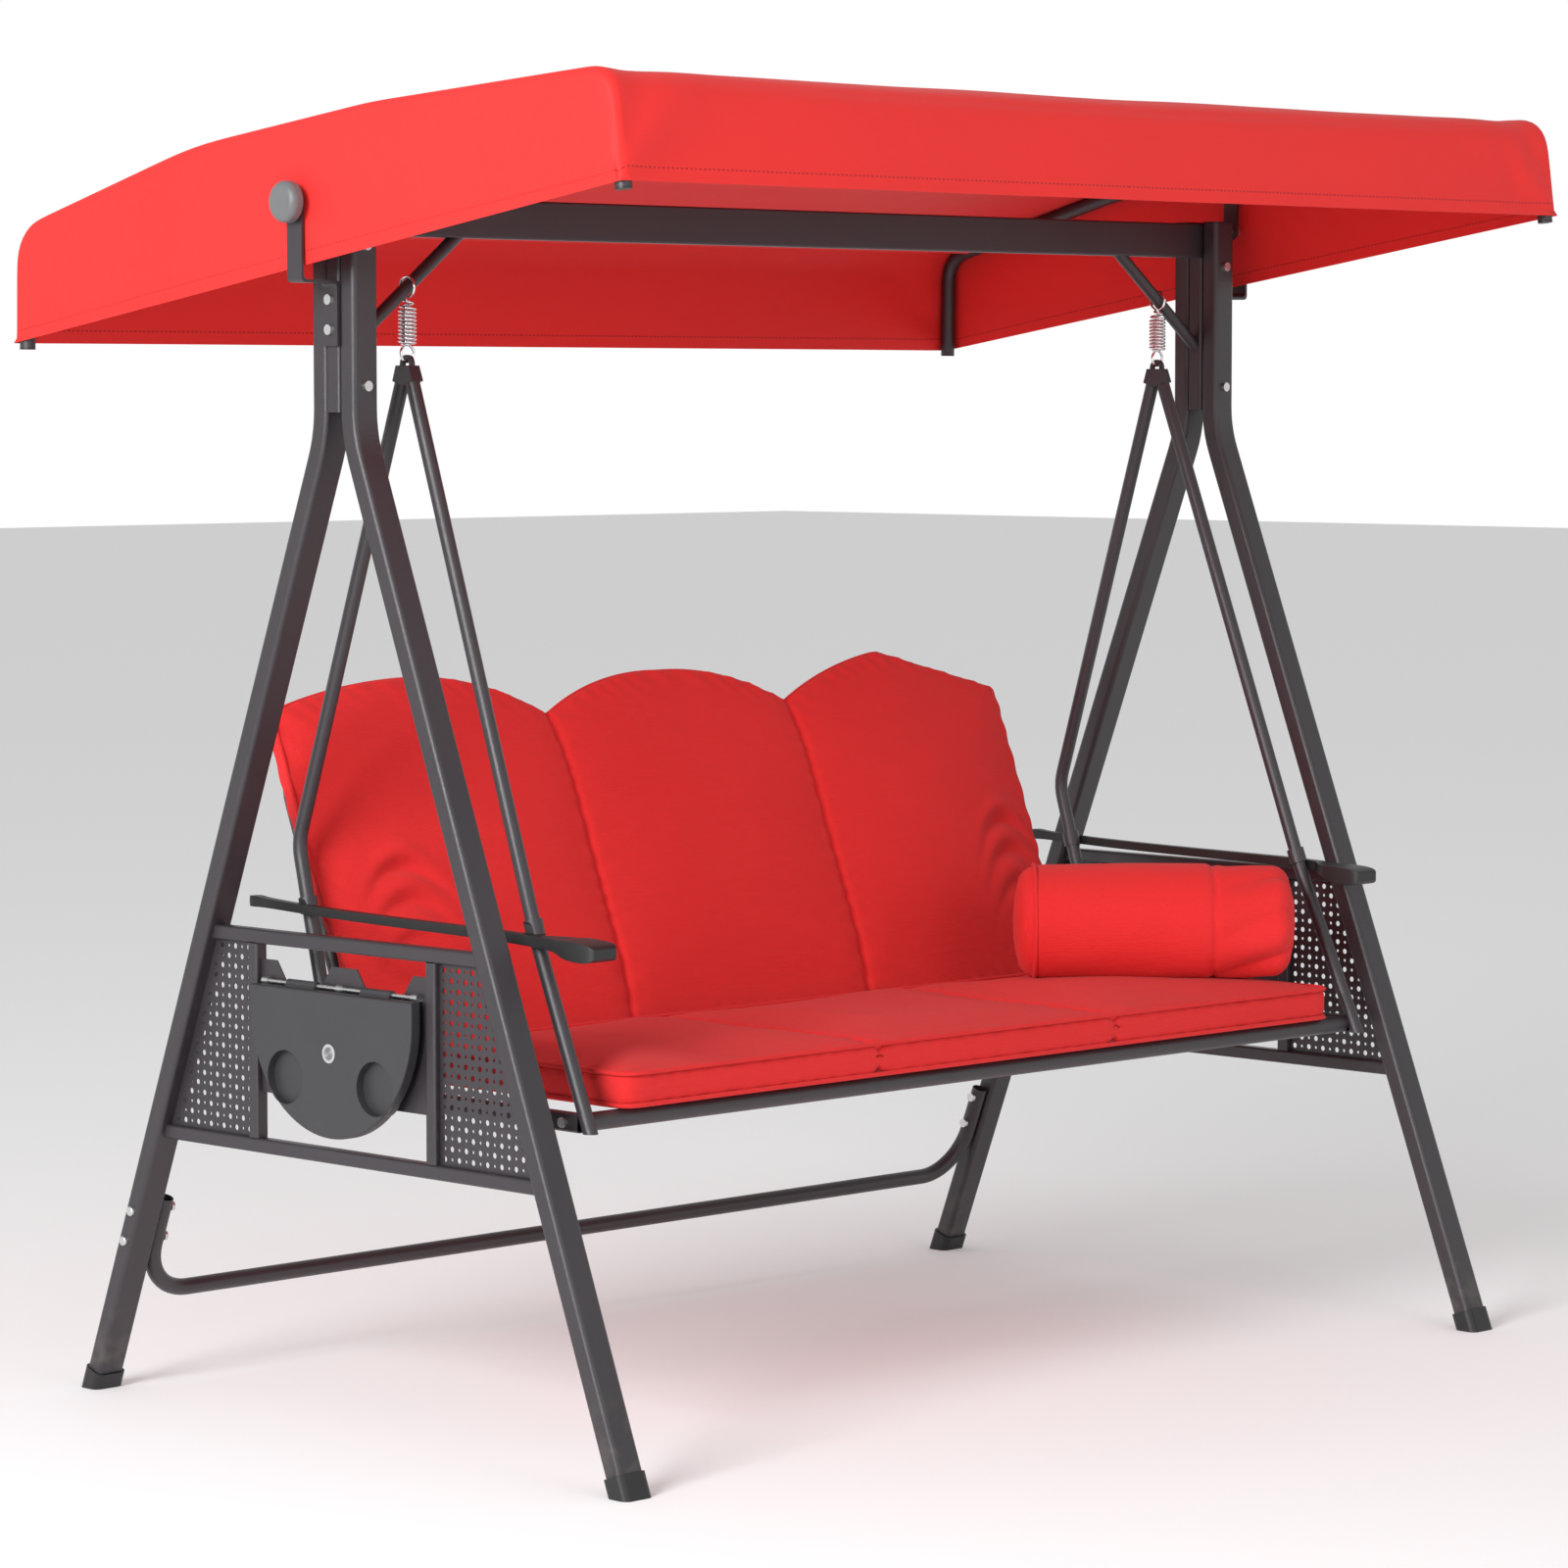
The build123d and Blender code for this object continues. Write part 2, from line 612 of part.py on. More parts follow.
low_ring_z = spring_bottom_z - spring_wire - low_ring_radius
with BuildPart() as bottom_hooks:
    with Locations((hook_x, 0, low_ring_z)):
        Torus(low_ring_radius, wire_radius, rotation=(90, 0, 0))
    with Locations((hook_x, 0, spring_bottom_z - wire_radius)):
        Cylinder(coil_radius + wire_radius, spring_wire)
    mirror(about=Plane.YZ)
save(bottom_hooks, "spring_bottom_hooks")


# ------------------------------------------------------------------ hangers
def hanger_x(z):
    """The hangers spread slightly from the hooks down to the seat."""
    return hook_x + (hanger_apex_z - z) * (hanger_low_x - hook_x) / (hanger_apex_z - seat_rail_z)


def slant(knee):
    """Shares along Y and down Z of each millimetre from the apex towards a knee."""
    run = hypot(knee[0], hanger_apex_z - knee[1])
    return knee[0] / run, (hanger_apex_z - knee[1]) / run


def along(knee, drop):
    """A (y, z) point at a distance below the apex, on the way to the knee."""
    level, down = slant(knee)
    return (level * drop, hanger_apex_z - down * drop)


# The tubes start where they have spread enough to lie clear of each other.
top_slants = [slant(front_knee), slant(rear_shoulder)]
tubes_level = sum(down * hanger_diameter / 2 for _, down in top_slants)
hanger_head_drop = (tubes_level + head_tube_gap) / sum(abs(level) for level, _ in top_slants)
hanger_end_z = seat_rail_z - side_rail_high / 2
front_slope = (front_foot_y - front_knee[0]) / (front_knee[1] - seat_rail_z)
front_route = [along(front_knee, hanger_head_drop), front_knee,
               (front_foot_y + front_slope * side_rail_high, seat_rail_z - side_rail_high)]
rear_slope = (rear_foot_y - rear_knee[0]) / (rear_knee[1] - seat_rail_z)
rear_route = [along(rear_shoulder, hanger_head_drop), rear_shoulder, rear_knee,
              (rear_foot_y + rear_slope * side_rail_high, seat_rail_z - side_rail_high)]
hanger_routes = {"front": (front_route, [150.0]), "rear": (rear_route, [70.0, 150.0])}
hanger_solids = {}
for side_name, side in sides:
    for end_name, (route, bends) in hanger_routes.items():
        points = [(side * hanger_x(z), y, z) for y, z in route]
        hanger_solids[side, end_name] = round_tube(points, bends, hanger_diameter).part
        hanger_tube = round_tube(points, bends, hanger_diameter, hanger_wall).part
        cut_z = hanger_end_z if end_name == "front" else seat_rail_z + side_rail_high / 2
        with BuildPart() as hanger:
            add(hanger_tube)
            split(bisect_by=Plane.XY.offset(cut_z), keep=Keep.TOP)
        save(hanger, f"{side_name}_{end_name}_hanger")

# The head joins the two tubes and hangs on the lower hook: a thin eye above a thicker yoke.
head_eye_radius = 13.0
head_hole_radius = 6.0
head_thick = hanger_diameter
eye_thick = 5.0
head_hole_z = low_ring_z - low_ring_radius - head_hole_radius + wire_radius + side_play
yoke_corners = []
for knee in (front_knee, rear_shoulder):
    middle = along(knee, hanger_head_drop + 1)
    level, down = slant(knee)
    for reach in (-hanger_diameter / 2, hanger_diameter / 2):
        yoke_corners.append((middle[0] + reach * down, middle[1] + reach * level))
yoke_top_z = hanger_apex_z - 8.0
with BuildPart() as heads:
    with BuildSketch(Plane.YZ.offset(hook_x - head_thick / 2)):
        Polygon(*yoke_corners, (head_eye_radius, yoke_top_z), (-head_eye_radius, yoke_top_z), align=None)
    extrude(amount=head_thick)
    # Trim the yoke square to each tube, where the tube's end meets it.
    for route, _ in hanger_routes.values():
        start, knee = [Vector(hanger_x(z), y, z) for y, z in route[:2]]
        split(bisect_by=Plane(origin=start, z_dir=start - knee), keep=Keep.TOP)
    with BuildSketch(Plane.YZ.offset(hook_x - eye_thick / 2)):
        with Locations((0, head_hole_z)):
            Circle(head_eye_radius)
        with Locations((0, (head_hole_z + yoke_top_z) / 2 - 2)):
            Rectangle(2 * head_eye_radius, head_hole_z - yoke_top_z + 4)
        with Locations((0, head_hole_z)):
            Circle(head_hole_radius, mode=Mode.SUBTRACT)
    extrude(amount=eye_thick)
    mirror(about=Plane.YZ)
save(heads, "hanger_heads")

# ------------------------------------------------------------------ seat frame
side_rail_start = front_foot_y + hanger_diameter / 2
side_rail_stop = rear_rail_y + seat_rail_diameter / 2
bench_bolt_y = (front_foot_y + 36.0, rear_foot_y + 18.0)
side_rail_face_x = hanger_low_x + side_rail_wide / 2
with BuildPart() as side_rails:
    with BuildSketch(Plane(origin=(hanger_low_x, side_rail_start, seat_rail_z), x_dir=(1, 0, 0),
                           z_dir=(0, 1, 0))):
        RectangleRounded(side_rail_wide, side_rail_high, panel_rail_corner)
        RectangleRounded(side_rail_wide - 2 * hanger_wall, side_rail_high - 2 * hanger_wall,
                         panel_rail_corner - hanger_wall, mode=Mode.SUBTRACT)
    extrude(amount=side_rail_stop - side_rail_start)
    add(hanger_solids[1, "front"], mode=Mode.SUBTRACT)
    with Locations(*[(side_rail_face_x, y, seat_rail_z) for y in bench_bolt_y]):
        Cylinder(bolt_radius + bolt_slack, side_rail_wide, rotation=(0, 90, 0), mode=Mode.SUBTRACT)
    mirror(about=Plane.YZ)
save(side_rails, "seat_side_rails")

with BuildPart() as bench_bolts:
    for y in bench_bolt_y:
        with Locations((side_rail_face_x - side_rail_wide / 4, y, seat_rail_z)):
            Cylinder(bolt_radius, side_rail_wide / 2, rotation=(0, 90, 0))
        with Locations((side_rail_face_x + head_high / 2, y, seat_rail_z)):
            Cylinder(head_radius, head_high, rotation=(0, 90, 0))
    mirror(about=Plane.YZ)
save(bench_bolts, "seat_bolts")

with BuildPart() as side_rail_caps:
    with BuildSketch(Plane(origin=(hanger_low_x, side_rail_stop, seat_rail_z), x_dir=(1, 0, 0),
                           z_dir=(0, 1, 0))):
        RectangleRounded(side_rail_wide, side_rail_high, panel_rail_corner)
    extrude(amount=cap_thick)
    mirror(about=Plane.YZ)
save(side_rail_caps, "seat_rail_caps")

rail_reach = hanger_low_x - side_rail_wide / 2
rail_solids = {}
for name, y in (("seat_front_rail", front_rail_y), ("seat_rear_rail", rear_rail_y)):
    run = [(-rail_reach, y, seat_rail_z), (rail_reach, y, seat_rail_z)]
    rail_solids[name] = round_tube(run, None, seat_rail_diameter).part
    rail_tube = round_tube(run, None, seat_rail_diameter, seat_rail_wall).part
    with BuildPart() as seat_rail:
        add(rail_tube)
        if y < 0:
            add(hanger_solids[-1, "front"], mode=Mode.SUBTRACT)
            add(hanger_solids[1, "front"], mode=Mode.SUBTRACT)
    save(seat_rail, name)

slat_z = seat_rail_z + (seat_rail_diameter - slat_diameter) / 2
slat_x = [(i - (seat_slat_count - 1) / 2) * seat_slat_spacing for i in range(seat_slat_count)]
slat_runs = [[(x, front_rail_y, slat_z), (x, rear_rail_y, slat_z)] for x in slat_x]
slat_tubes = [round_tube(run, None, slat_diameter, slat_wall).part for run in slat_runs]
with BuildPart() as seat_slats:
    for tube in slat_tubes:
        add(tube)
    for solid in rail_solids.values():
        add(solid, mode=Mode.SUBTRACT)
save(seat_slats, "seat_slats")

# ------------------------------------------------------------------ back frame
lean_sin, lean_cos = sin(radians(recline)), cos(radians(recline))
back_plane = Plane(origin=(0, rear_rail_y, seat_rail_z), x_dir=(1, 0, 0), z_dir=(0, -lean_cos, lean_sin))


def on_back(x, height):
    """A point in the plane of the back frame, at a height up the slope from the rear rail."""
    return (x, rear_rail_y + height * lean_sin, seat_rail_z + height * lean_cos)


hoop_points = [on_back(-hoop_half_wide, 0), on_back(-hoop_half_wide, hoop_high),
               on_back(hoop_half_wide, hoop_high), on_back(hoop_half_wide, 0)]
hoop_solid = round_tube(hoop_points, hoop_bend, hoop_diameter).part
hoop_tube = round_tube(hoop_points, hoop_bend, hoop_diameter, hoop_wall).part
with BuildPart() as back_hoop:
    add(hoop_tube)
    add(rail_solids["seat_rear_rail"], mode=Mode.SUBTRACT)
    split(bisect_by=Plane.XY.offset(seat_rail_z), keep=Keep.TOP)
save(back_hoop, "back_hoop")

back_slat_runs = [[on_back(side * hoop_half_wide, high) for _, side in sides] for high in back_slat_heights]
back_slat_tubes = [round_tube(run, None, slat_diameter, slat_wall).part for run in back_slat_runs]
with BuildPart() as back_slats:
    for tube in back_slat_tubes:
        add(tube)
    add(hoop_solid, mode=Mode.SUBTRACT)
save(back_slats, "back_slats")

# ------------------------------------------------------------------ armrests
armrest_x = hanger_x(armrest_z) + hanger_diameter / 2 + cushion_gap + armrest_wide / 2
pad_x = hanger_x(armrest_z)
for side_name, side in sides:
    with BuildPart() as armrest:
        with BuildSketch(Plane(origin=(side * armrest_x, armrest_front_y + arm_pad_long / 2, armrest_z),
                               x_dir=(1, 0, 0), z_dir=(0, 1, 0))):
            RectangleRounded(armrest_wide, armrest_high, 5.0)
        extrude(amount=armrest_rear_y - armrest_front_y - arm_pad_long / 2)
        with BuildSketch(Plane.XY.offset(armrest_z - arm_pad_high / 2)):
            with Locations((side * pad_x, armrest_front_y + arm_pad_long / 2)):
                RectangleRounded(arm_pad_wide, arm_pad_long, 20.0)
        extrude(amount=arm_pad_high)
        with Locations((side * armrest_x, armrest_rear_y, armrest_z)):
            Cylinder(armrest_high / 2 + 2, armrest_wide, rotation=(0, 90, 0))
        add(hanger_solids[side, "front"], mode=Mode.SUBTRACT)
    save(armrest, f"{side_name}_armrest")


def clamp_on(start, stop):
    """A sleeve on a hanger tube where it passes the armrest; points are (y, z)."""
    share = (start[1] - armrest_z) / (start[1] - stop[1])
    y = start[0] + (stop[0] - start[0]) * share
    direction = Vector(hanger_x(stop[1]) - hanger_x(start[1]), stop[0] - start[0], stop[1] - start[1])
    with BuildPart() as clamp:
        with BuildSketch(Plane(origin=(hanger_x(armrest_z), y, armrest_z), z_dir=direction)):
            Circle(hanger_diameter / 2 + clamp_wall)
            Circle(hanger_diameter / 2 + running_clearance, mode=Mode.SUBTRACT)
        extrude(amount=clamp_long / 2, both=True)
    return clamp.part


clamp_stock = [clamp_on(front_route[0], front_knee), clamp_on(rear_shoulder, rear_knee)]
right_armrest = armrest.part
with BuildPart() as clamps:
    for clamp in clamp_stock:
        add(clamp)
    add(right_armrest, mode=Mode.SUBTRACT)
    mirror(about=Plane.YZ)
save(clamps, "armrest_clamps")

# ------------------------------------------------------------------ cushions
seat_top_z = seat_rail_z + seat_rail_diameter / 2 + cushion_gap
back_cushion_offset = hoop_diameter / 2 + cushion_gap
back_cushion_low_y = (rear_rail_y + back_cushion_bottom * lean_sin
                      - (back_cushion_offset + back_cushion_thick) * lean_cos)
seat_cushion_rear_y = back_cushion_low_y - seat_back_gap
with BuildPart() as seat_cushion:
    with BuildSketch(Plane.XY.offset(seat_top_z)):
        with Locations((0, (seat_cushion_front_y + seat_cushion_rear_y) / 2)):
            RectangleRounded(2 * seat_cushion_half_wide, seat_cushion_rear_y - seat_cushion_front_y, 40.0)
    extrude(amount=seat_cushion_thick)
    fillet(seat_cushion.faces().sort_by(Axis.Z)[-1].edges(), 22.0)
    fillet(seat_cushion.faces().sort_by(Axis.Z)[0].edges(), 15.0)
save(seat_cushion, "seat_cushion")

with BuildPart() as back_cushion:
    with BuildSketch(back_plane.offset(back_cushion_offset)):
        with BuildLine():
            right_half = [
                Line((0, back_cushion_bottom), (back_cushion_half_wide, back_cushion_bottom)),
                Line((back_cushion_half_wide, back_cushion_bottom), (back_cushion_half_wide, back_shoulder)),
                Line((back_cushion_half_wide, back_shoulder), (back_peak_x, back_peak)),
                ThreePointArc((back_peak_x, back_peak),
                              ((back_peak_x + back_seam_x) / 2 - 5, (back_peak + back_valley) / 2 + 11),
                              (back_seam_x, back_valley)),
                ThreePointArc((back_seam_x, back_valley),
                              (back_seam_x / 2, (back_valley + back_dome) / 2 + 13), (0, back_dome)),
            ]
            mirror(right_half, about=Plane.YZ)
        make_face()
    extrude(amount=back_cushion_thick)
save(back_cushion, "back_cushion")

bolster_z = seat_top_z + seat_cushion_thick + cushion_gap + bolster_diameter / 2
bolster_x = seat_cushion_half_wide - bolster_inset
bolster_axis = (cos(radians(bolster_turn)), sin(radians(bolster_turn)), 0)
with BuildPart() as bolster:
    with BuildSketch(Plane(origin=(bolster_x, bolster_y, bolster_z), z_dir=bolster_axis)):
        Circle(bolster_diameter / 2)
    extrude(amount=bolster_long / 2, both=True)
    fillet(bolster.edges().filter_by(GeomType.CIRCLE), 28.0)
save(bolster, "bolster_pillow")

# ------------------------------------------------------------------ canopy fabric
canopy_rises = [
    (canopy_half_deep, canopy_rear_hem_rise), (canopy_rear_corner_y, canopy_rear_corner_rise),
    (canopy_rear_slope_y, canopy_rear_slope_rise), (canopy_front_slope_y, canopy_front_slope_rise),
    (canopy_front_corner_y, canopy_front_corner_rise), (-canopy_half_deep, canopy_front_hem_rise),
]
canopy_points = [(y, post_top_z + rise) for y, rise in canopy_rises]


def inset_route(distance):
    """The canopy's side profile moved inwards, with its bend radii."""
    moved = []
    for i, (y, z) in enumerate(canopy_points):
        normals = []
        for a, b in ((i - 1, i), (i, i + 1)):
            if a >= 0 and b < len(canopy_points):
                dy = canopy_points[b][0] - canopy_points[a][0]
                dz = canopy_points[b][1] - canopy_points[a][1]
                normals.append((-dz / hypot(dy, dz), dy / hypot(dy, dz)))
        ny = sum(n[0] for n in normals)
        nz = sum(n[1] for n in normals)
        scale = distance * len(normals) / (ny * ny + nz * nz)
        moved.append((y + ny * scale, z + nz * scale))
    return moved, [bend - distance for bend in canopy_bends]


def run_on(route, reach):
    """The same route with both of its ends run on by a length."""
    longer = list(route)
    for tip, before in ((0, 1), (-1, -2)):
        dy, dz = route[tip][0] - route[before][0], route[tip][1] - route[before][1]
        share = 1 + reach / hypot(dy, dz)
        longer[tip] = (route[before][0] + dy * share, route[before][1] + dz * share)
    return longer


with BuildPart() as fabric_shell:
    with BuildSketch(Plane.YZ.offset(-canopy_half_wide + fabric_thick)):
        with BuildLine():
            outer, outer_bends = inset_route(0)
            FilletPolyline(*outer, radius=outer_bends)
            Line(outer[-1], outer[0])
        make_face()
        inner, inner_bends = inset_route(fabric_thick)
        inner = run_on(inner, fabric_thick * 10)
        with BuildLine():
            FilletPolyline(*inner, radius=inner_bends)
            Line(inner[-1], inner[0])
        make_face(mode=Mode.SUBTRACT)
    extrude(amount=2 * (canopy_half_wide - fabric_thick))

valance_drop = 50.0        # from a corner of the profile down to where its valance starts
front_cut_z = post_top_z + canopy_front_corner_rise - valance_drop
rear_cut_z = post_top_z + canopy_rear_corner_rise - valance_drop
corner_deep = 80.0
block_wide = 2 * canopy_half_wide
front_block = ((0, -canopy_half_deep, front_cut_z - 100), (block_wide, 2 * corner_deep, 200))
rear_block = ((0, canopy_half_deep, rear_cut_z - 100), (block_wide, 2 * corner_deep, 200))
with BuildPart() as canopy_top:
    add(fabric_shell.part)
    for place, size in (front_block, rear_block):
        with Locations(place):
            Box(*size, mode=Mode.SUBTRACT)
save(canopy_top, "canopy_top")
for name, (place, size) in (("canopy_front_valance", front_block), ("canopy_rear_valance", rear_block)):
    with BuildPart() as valance:
        add(fabric_shell.part)
        with Locations(place):
            Box(*size, mode=Mode.INTERSECT)
    save(valance, name)

with BuildPart() as side_valances:
    with BuildSketch(Plane.YZ.offset(canopy_half_wide - fabric_thick)):
        with BuildLine():
            FilletPolyline(*outer, radius=outer_bends)
            Line(outer[-1], outer[0])
        make_face()
        with Locations((0, pivot_z)):
            Circle(valance_hole_diameter / 2, mode=Mode.SUBTRACT)
    extrude(amount=fabric_thick)
    mirror(about=Plane.YZ)
save(side_valances, "canopy_side_valances")

# ------------------------------------------------------------------ canopy frame
rail_inset = fabric_thick + canopy_fabric_gap + canopy_rail_diameter / 2
rail_route, rail_bends = inset_route(rail_inset)
rail_route = run_on(rail_route, canopy_rail_past_hem)
canopy_rail_solids = {}
for side_name, side in sides:
    points = [(side * canopy_rail_x, y, z) for y, z in rail_route]
    canopy_rail_solids[side] = round_tube(points, rail_bends, canopy_rail_diameter).part
    canopy_rail = round_tube(points, rail_bends, canopy_rail_diameter, canopy_rail_wall)
    save(canopy_rail, f"{side_name}_canopy_rail")

with BuildPart() as rail_caps:
    for tip, before in ((rail_route[0], rail_route[1]), (rail_route[-1], rail_route[-2])):
        outward = (0, tip[0] - before[0], tip[1] - before[1])
        with BuildSketch(Plane(origin=(canopy_rail_x, tip[0], tip[1]), z_dir=outward)):
            Circle(canopy_rail_diameter / 2)
        extrude(amount=cap_thick)
    mirror(about=Plane.YZ)
save(rail_caps, "canopy_rail_caps")


def rail_height(y):
    """Height of the side rail's centre line at a place between its corners."""
    for (y0, z0), (y1, z1) in zip(rail_route[1:-1], rail_route[2:-1]):
        if y1 <= y <= y0:
            return z0 + (z1 - z0) * (y0 - y) / (y0 - y1)
    raise ValueError(f"no rail above y = {y}")


cross_tube_y = (-530.0, 60.0, 540.0)
cross_runs = [[(side * canopy_rail_x, y, rail_height(y)) for _, side in sides] for y in cross_tube_y]
cross_tubes_stock = [round_tube(run, None, cross_tube_diameter, canopy_rail_wall).part for run in cross_runs]
with BuildPart() as cross_tubes:
    for tube in cross_tubes_stock:
        add(tube)
    for solid in canopy_rail_solids.values():
        add(solid, mode=Mode.SUBTRACT)
save(cross_tubes, "canopy_cross_tubes")

strut_top_z = rail_height(0)
with BuildPart() as struts:
    with BuildSketch(Plane.YZ.offset(canopy_rail_x - strut_thick / 2)):
        with Locations((0, (pivot_z + strut_top_z) / 2)):
            Rectangle(strut_wide, strut_top_z - pivot_z)
        with Locations((0, pivot_z)):
            Circle(strut_wide / 2)
            Circle(bolt_radius + running_clearance, mode=Mode.SUBTRACT)
    extrude(amount=strut_thick)
    add(canopy_rail_solids[1], mode=Mode.SUBTRACT)
    mirror(about=Plane.YZ)
save(struts, "canopy_pivot_struts")

# ------------------------------------------------------------------ canopy brackets, pivot bolts, knobs
arm_inner_x = canopy_half_wide + bracket_clear
arm_outer_x = arm_inner_x + bracket_thick
bracket_shelf_z = post_top_z - bracket_shelf_drop
bracket_tail_z = post_top_z - bracket_tail_drop
shelf_under_z = bracket_shelf_z - bracket_thick
with BuildPart() as brackets:
    with BuildSketch(Plane.XZ.offset(-bracket_wide / 2)):
        with BuildLine():
            FilletPolyline((post_outer_x, bracket_tail_z), (post_outer_x, bracket_shelf_z),
                           (arm_inner_x, bracket_shelf_z), (arm_inner_x, pivot_z), radius=bracket_bend)
            Line((arm_inner_x, pivot_z), (arm_outer_x, pivot_z))
            FilletPolyline((arm_outer_x, pivot_z), (arm_outer_x, shelf_under_z),
                           (bracket_face_x, shelf_under_z), (bracket_face_x, bracket_tail_z),
                           radius=bracket_bend)
            Line((bracket_face_x, bracket_tail_z), (post_outer_x, bracket_tail_z))
        make_face()
    extrude(amount=bracket_wide)
    with BuildSketch(Plane.YZ.offset(arm_inner_x)):
        with Locations((0, pivot_z)):
            Circle(bracket_wide / 2)
    extrude(amount=bracket_thick)
    with Locations((arm_inner_x, 0, pivot_z)):
        Cylinder(bolt_radius + bolt_slack, bracket_thick * 4, rotation=(0, 90, 0), mode=Mode.SUBTRACT)
    with Locations(*[(post_outer_x, 0, z) for z in bracket_bolt_heights]):
        Cylinder(bolt_radius + bolt_slack, bracket_thick * 4, rotation=(0, 90, 0), mode=Mode.SUBTRACT)
    mirror(about=Plane.YZ)
save(brackets, "canopy_brackets")

strut_inner_x = canopy_rail_x - strut_thick / 2
strut_outer_x = canopy_rail_x + strut_thick / 2
knob_inner_x = arm_outer_x + side_play
knob_outer_x = knob_inner_x + knob_hub_thick + knob_thick
bolt_end_x = knob_outer_x - knob_thick / 2


def along_x(start, stop, radius, mode=Mode.ADD):
    """A round length on the canopy pivot's axis."""
    with Locations(((start + stop) / 2, 0, pivot_z)):
        Cylinder(radius, stop - start, rotation=(0, 90, 0), mode=mode)


with BuildPart() as pivot_bolts:
    along_x(strut_inner_x - side_play - head_high, strut_inner_x - side_play, head_radius)
    along_x(strut_inner_x - side_play, bolt_end_x, bolt_radius)
    along_x(strut_outer_x + side_play, arm_inner_x, pivot_collar_diameter / 2)
    mirror(about=Plane.YZ)
save(pivot_bolts, "canopy_pivot_bolts")

for side_name, side in sides:
    with BuildPart() as knob:
        along_x(knob_inner_x, knob_inner_x + knob_hub_thick, knob_hub_diameter / 2)
        along_x(knob_inner_x + knob_hub_thick, knob_outer_x, knob_diameter / 2)
        rim = knob.edges().filter_by(GeomType.CIRCLE).group_by(Axis.X)[-1]
        fillet(rim, knob_thick * 0.6)
        along_x(knob_inner_x, bolt_end_x + side_play, bolt_radius + running_clearance, Mode.SUBTRACT)
        if side < 0:
            mirror(about=Plane.YZ, mode=Mode.REPLACE)
    save(knob, f"{side_name}_canopy_knob")
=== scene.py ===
# %% [markdown]
# # A canopy swing, dressed for its picture
# The metal of this swing comes from a CAD model that never moves. What is made here is everything
# that CAD is poor at: the sewn canopy, the stuffed cushions, the wound springs and the finish of
# every surface. Each new piece takes its place from the CAD piece that it stands for.

# %% Load the frame
import json
from math import atan2, cos, exp, hypot, pi, radians, sin
import bmesh
import bpy
import numpy as np
from mathutils import Matrix, Vector, noise


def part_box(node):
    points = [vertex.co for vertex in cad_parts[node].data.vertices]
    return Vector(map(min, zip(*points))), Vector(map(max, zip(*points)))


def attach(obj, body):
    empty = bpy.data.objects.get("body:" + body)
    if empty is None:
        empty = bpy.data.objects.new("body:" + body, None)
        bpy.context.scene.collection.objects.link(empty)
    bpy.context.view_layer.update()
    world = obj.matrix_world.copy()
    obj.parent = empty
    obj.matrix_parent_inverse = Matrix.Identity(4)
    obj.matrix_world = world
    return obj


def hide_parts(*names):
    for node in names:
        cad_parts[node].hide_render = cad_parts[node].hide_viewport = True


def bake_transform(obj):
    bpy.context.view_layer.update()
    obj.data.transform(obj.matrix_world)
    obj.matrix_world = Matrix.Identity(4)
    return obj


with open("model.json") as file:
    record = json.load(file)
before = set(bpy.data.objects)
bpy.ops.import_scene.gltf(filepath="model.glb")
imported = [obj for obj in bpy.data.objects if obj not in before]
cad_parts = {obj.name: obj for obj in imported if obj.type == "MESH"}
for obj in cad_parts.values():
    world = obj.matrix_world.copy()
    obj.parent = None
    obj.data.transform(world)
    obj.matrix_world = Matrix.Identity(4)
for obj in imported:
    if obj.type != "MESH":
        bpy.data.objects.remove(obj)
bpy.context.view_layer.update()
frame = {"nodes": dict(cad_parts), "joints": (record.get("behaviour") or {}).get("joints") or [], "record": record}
nodes = frame["nodes"]
millimetre = 0.001

# %% [markdown]
# Blender's operators work on whatever is selected, and the import leaves every CAD piece selected.
# Two small helpers keep that in hand: one picks a single piece, the other bakes a modifier into it.


# %% Small helpers
def pick(piece):
    """Make one piece the only selected one, and the active one."""
    bpy.ops.object.select_all(action="DESELECT")
    piece.select_set(True)
    bpy.context.view_layer.objects.active = piece
    return piece


def settle(piece, kind, **settings):
    """Add a modifier with its settings and apply it."""
    pick(piece)
    modifier = piece.modifiers.new(kind.title(), kind)
    for name, value in settings.items():
        setattr(modifier, name, value)
    bpy.ops.object.modifier_apply(modifier=modifier.name)
    return piece


def mesh_piece(name, points, faces):
    """A new object from points and faces, in metres, with its origin at the swing's origin."""
    mesh = bpy.data.meshes.new(name)
    mesh.from_pydata([tuple(p) for p in points], [], [tuple(f) for f in faces])
    mesh.validate()
    piece = bpy.data.objects.new(name, mesh)
    bpy.context.scene.collection.objects.link(piece)
    return piece


def smooth(piece, angle=40):
    """Shade smooth, but keep edges sharper than the angle."""
    pick(piece)
    bpy.ops.object.shade_smooth_by_angle(angle=radians(angle))
    return piece


def places(piece):
    """Every vertex as one row of an array."""
    flat = np.empty(len(piece.data.vertices) * 3)
    piece.data.vertices.foreach_get("co", flat)
    return flat.reshape(-1, 3)


def place_all(piece, rows):
    """Write an array of vertex places back to the mesh."""
    piece.data.vertices.foreach_set("co", np.ascontiguousarray(rows).ravel())
    piece.data.update()


def join(name, pieces):
    """Several pieces as one."""
    pick(pieces[0])
    for piece in pieces:
        piece.select_set(True)
    bpy.ops.object.join()
    joined = bpy.context.view_layer.objects.active
    joined.name = name
    return joined


# %% [markdown]
# ## Writing shader sums as sums
# A material is a graph of nodes, and a graph is slow to read. The class below wraps a socket so
# that `1 - mask * 0.5` adds its own Math nodes. Colours go through Mix nodes instead, because a
# Math node turns a colour grey.


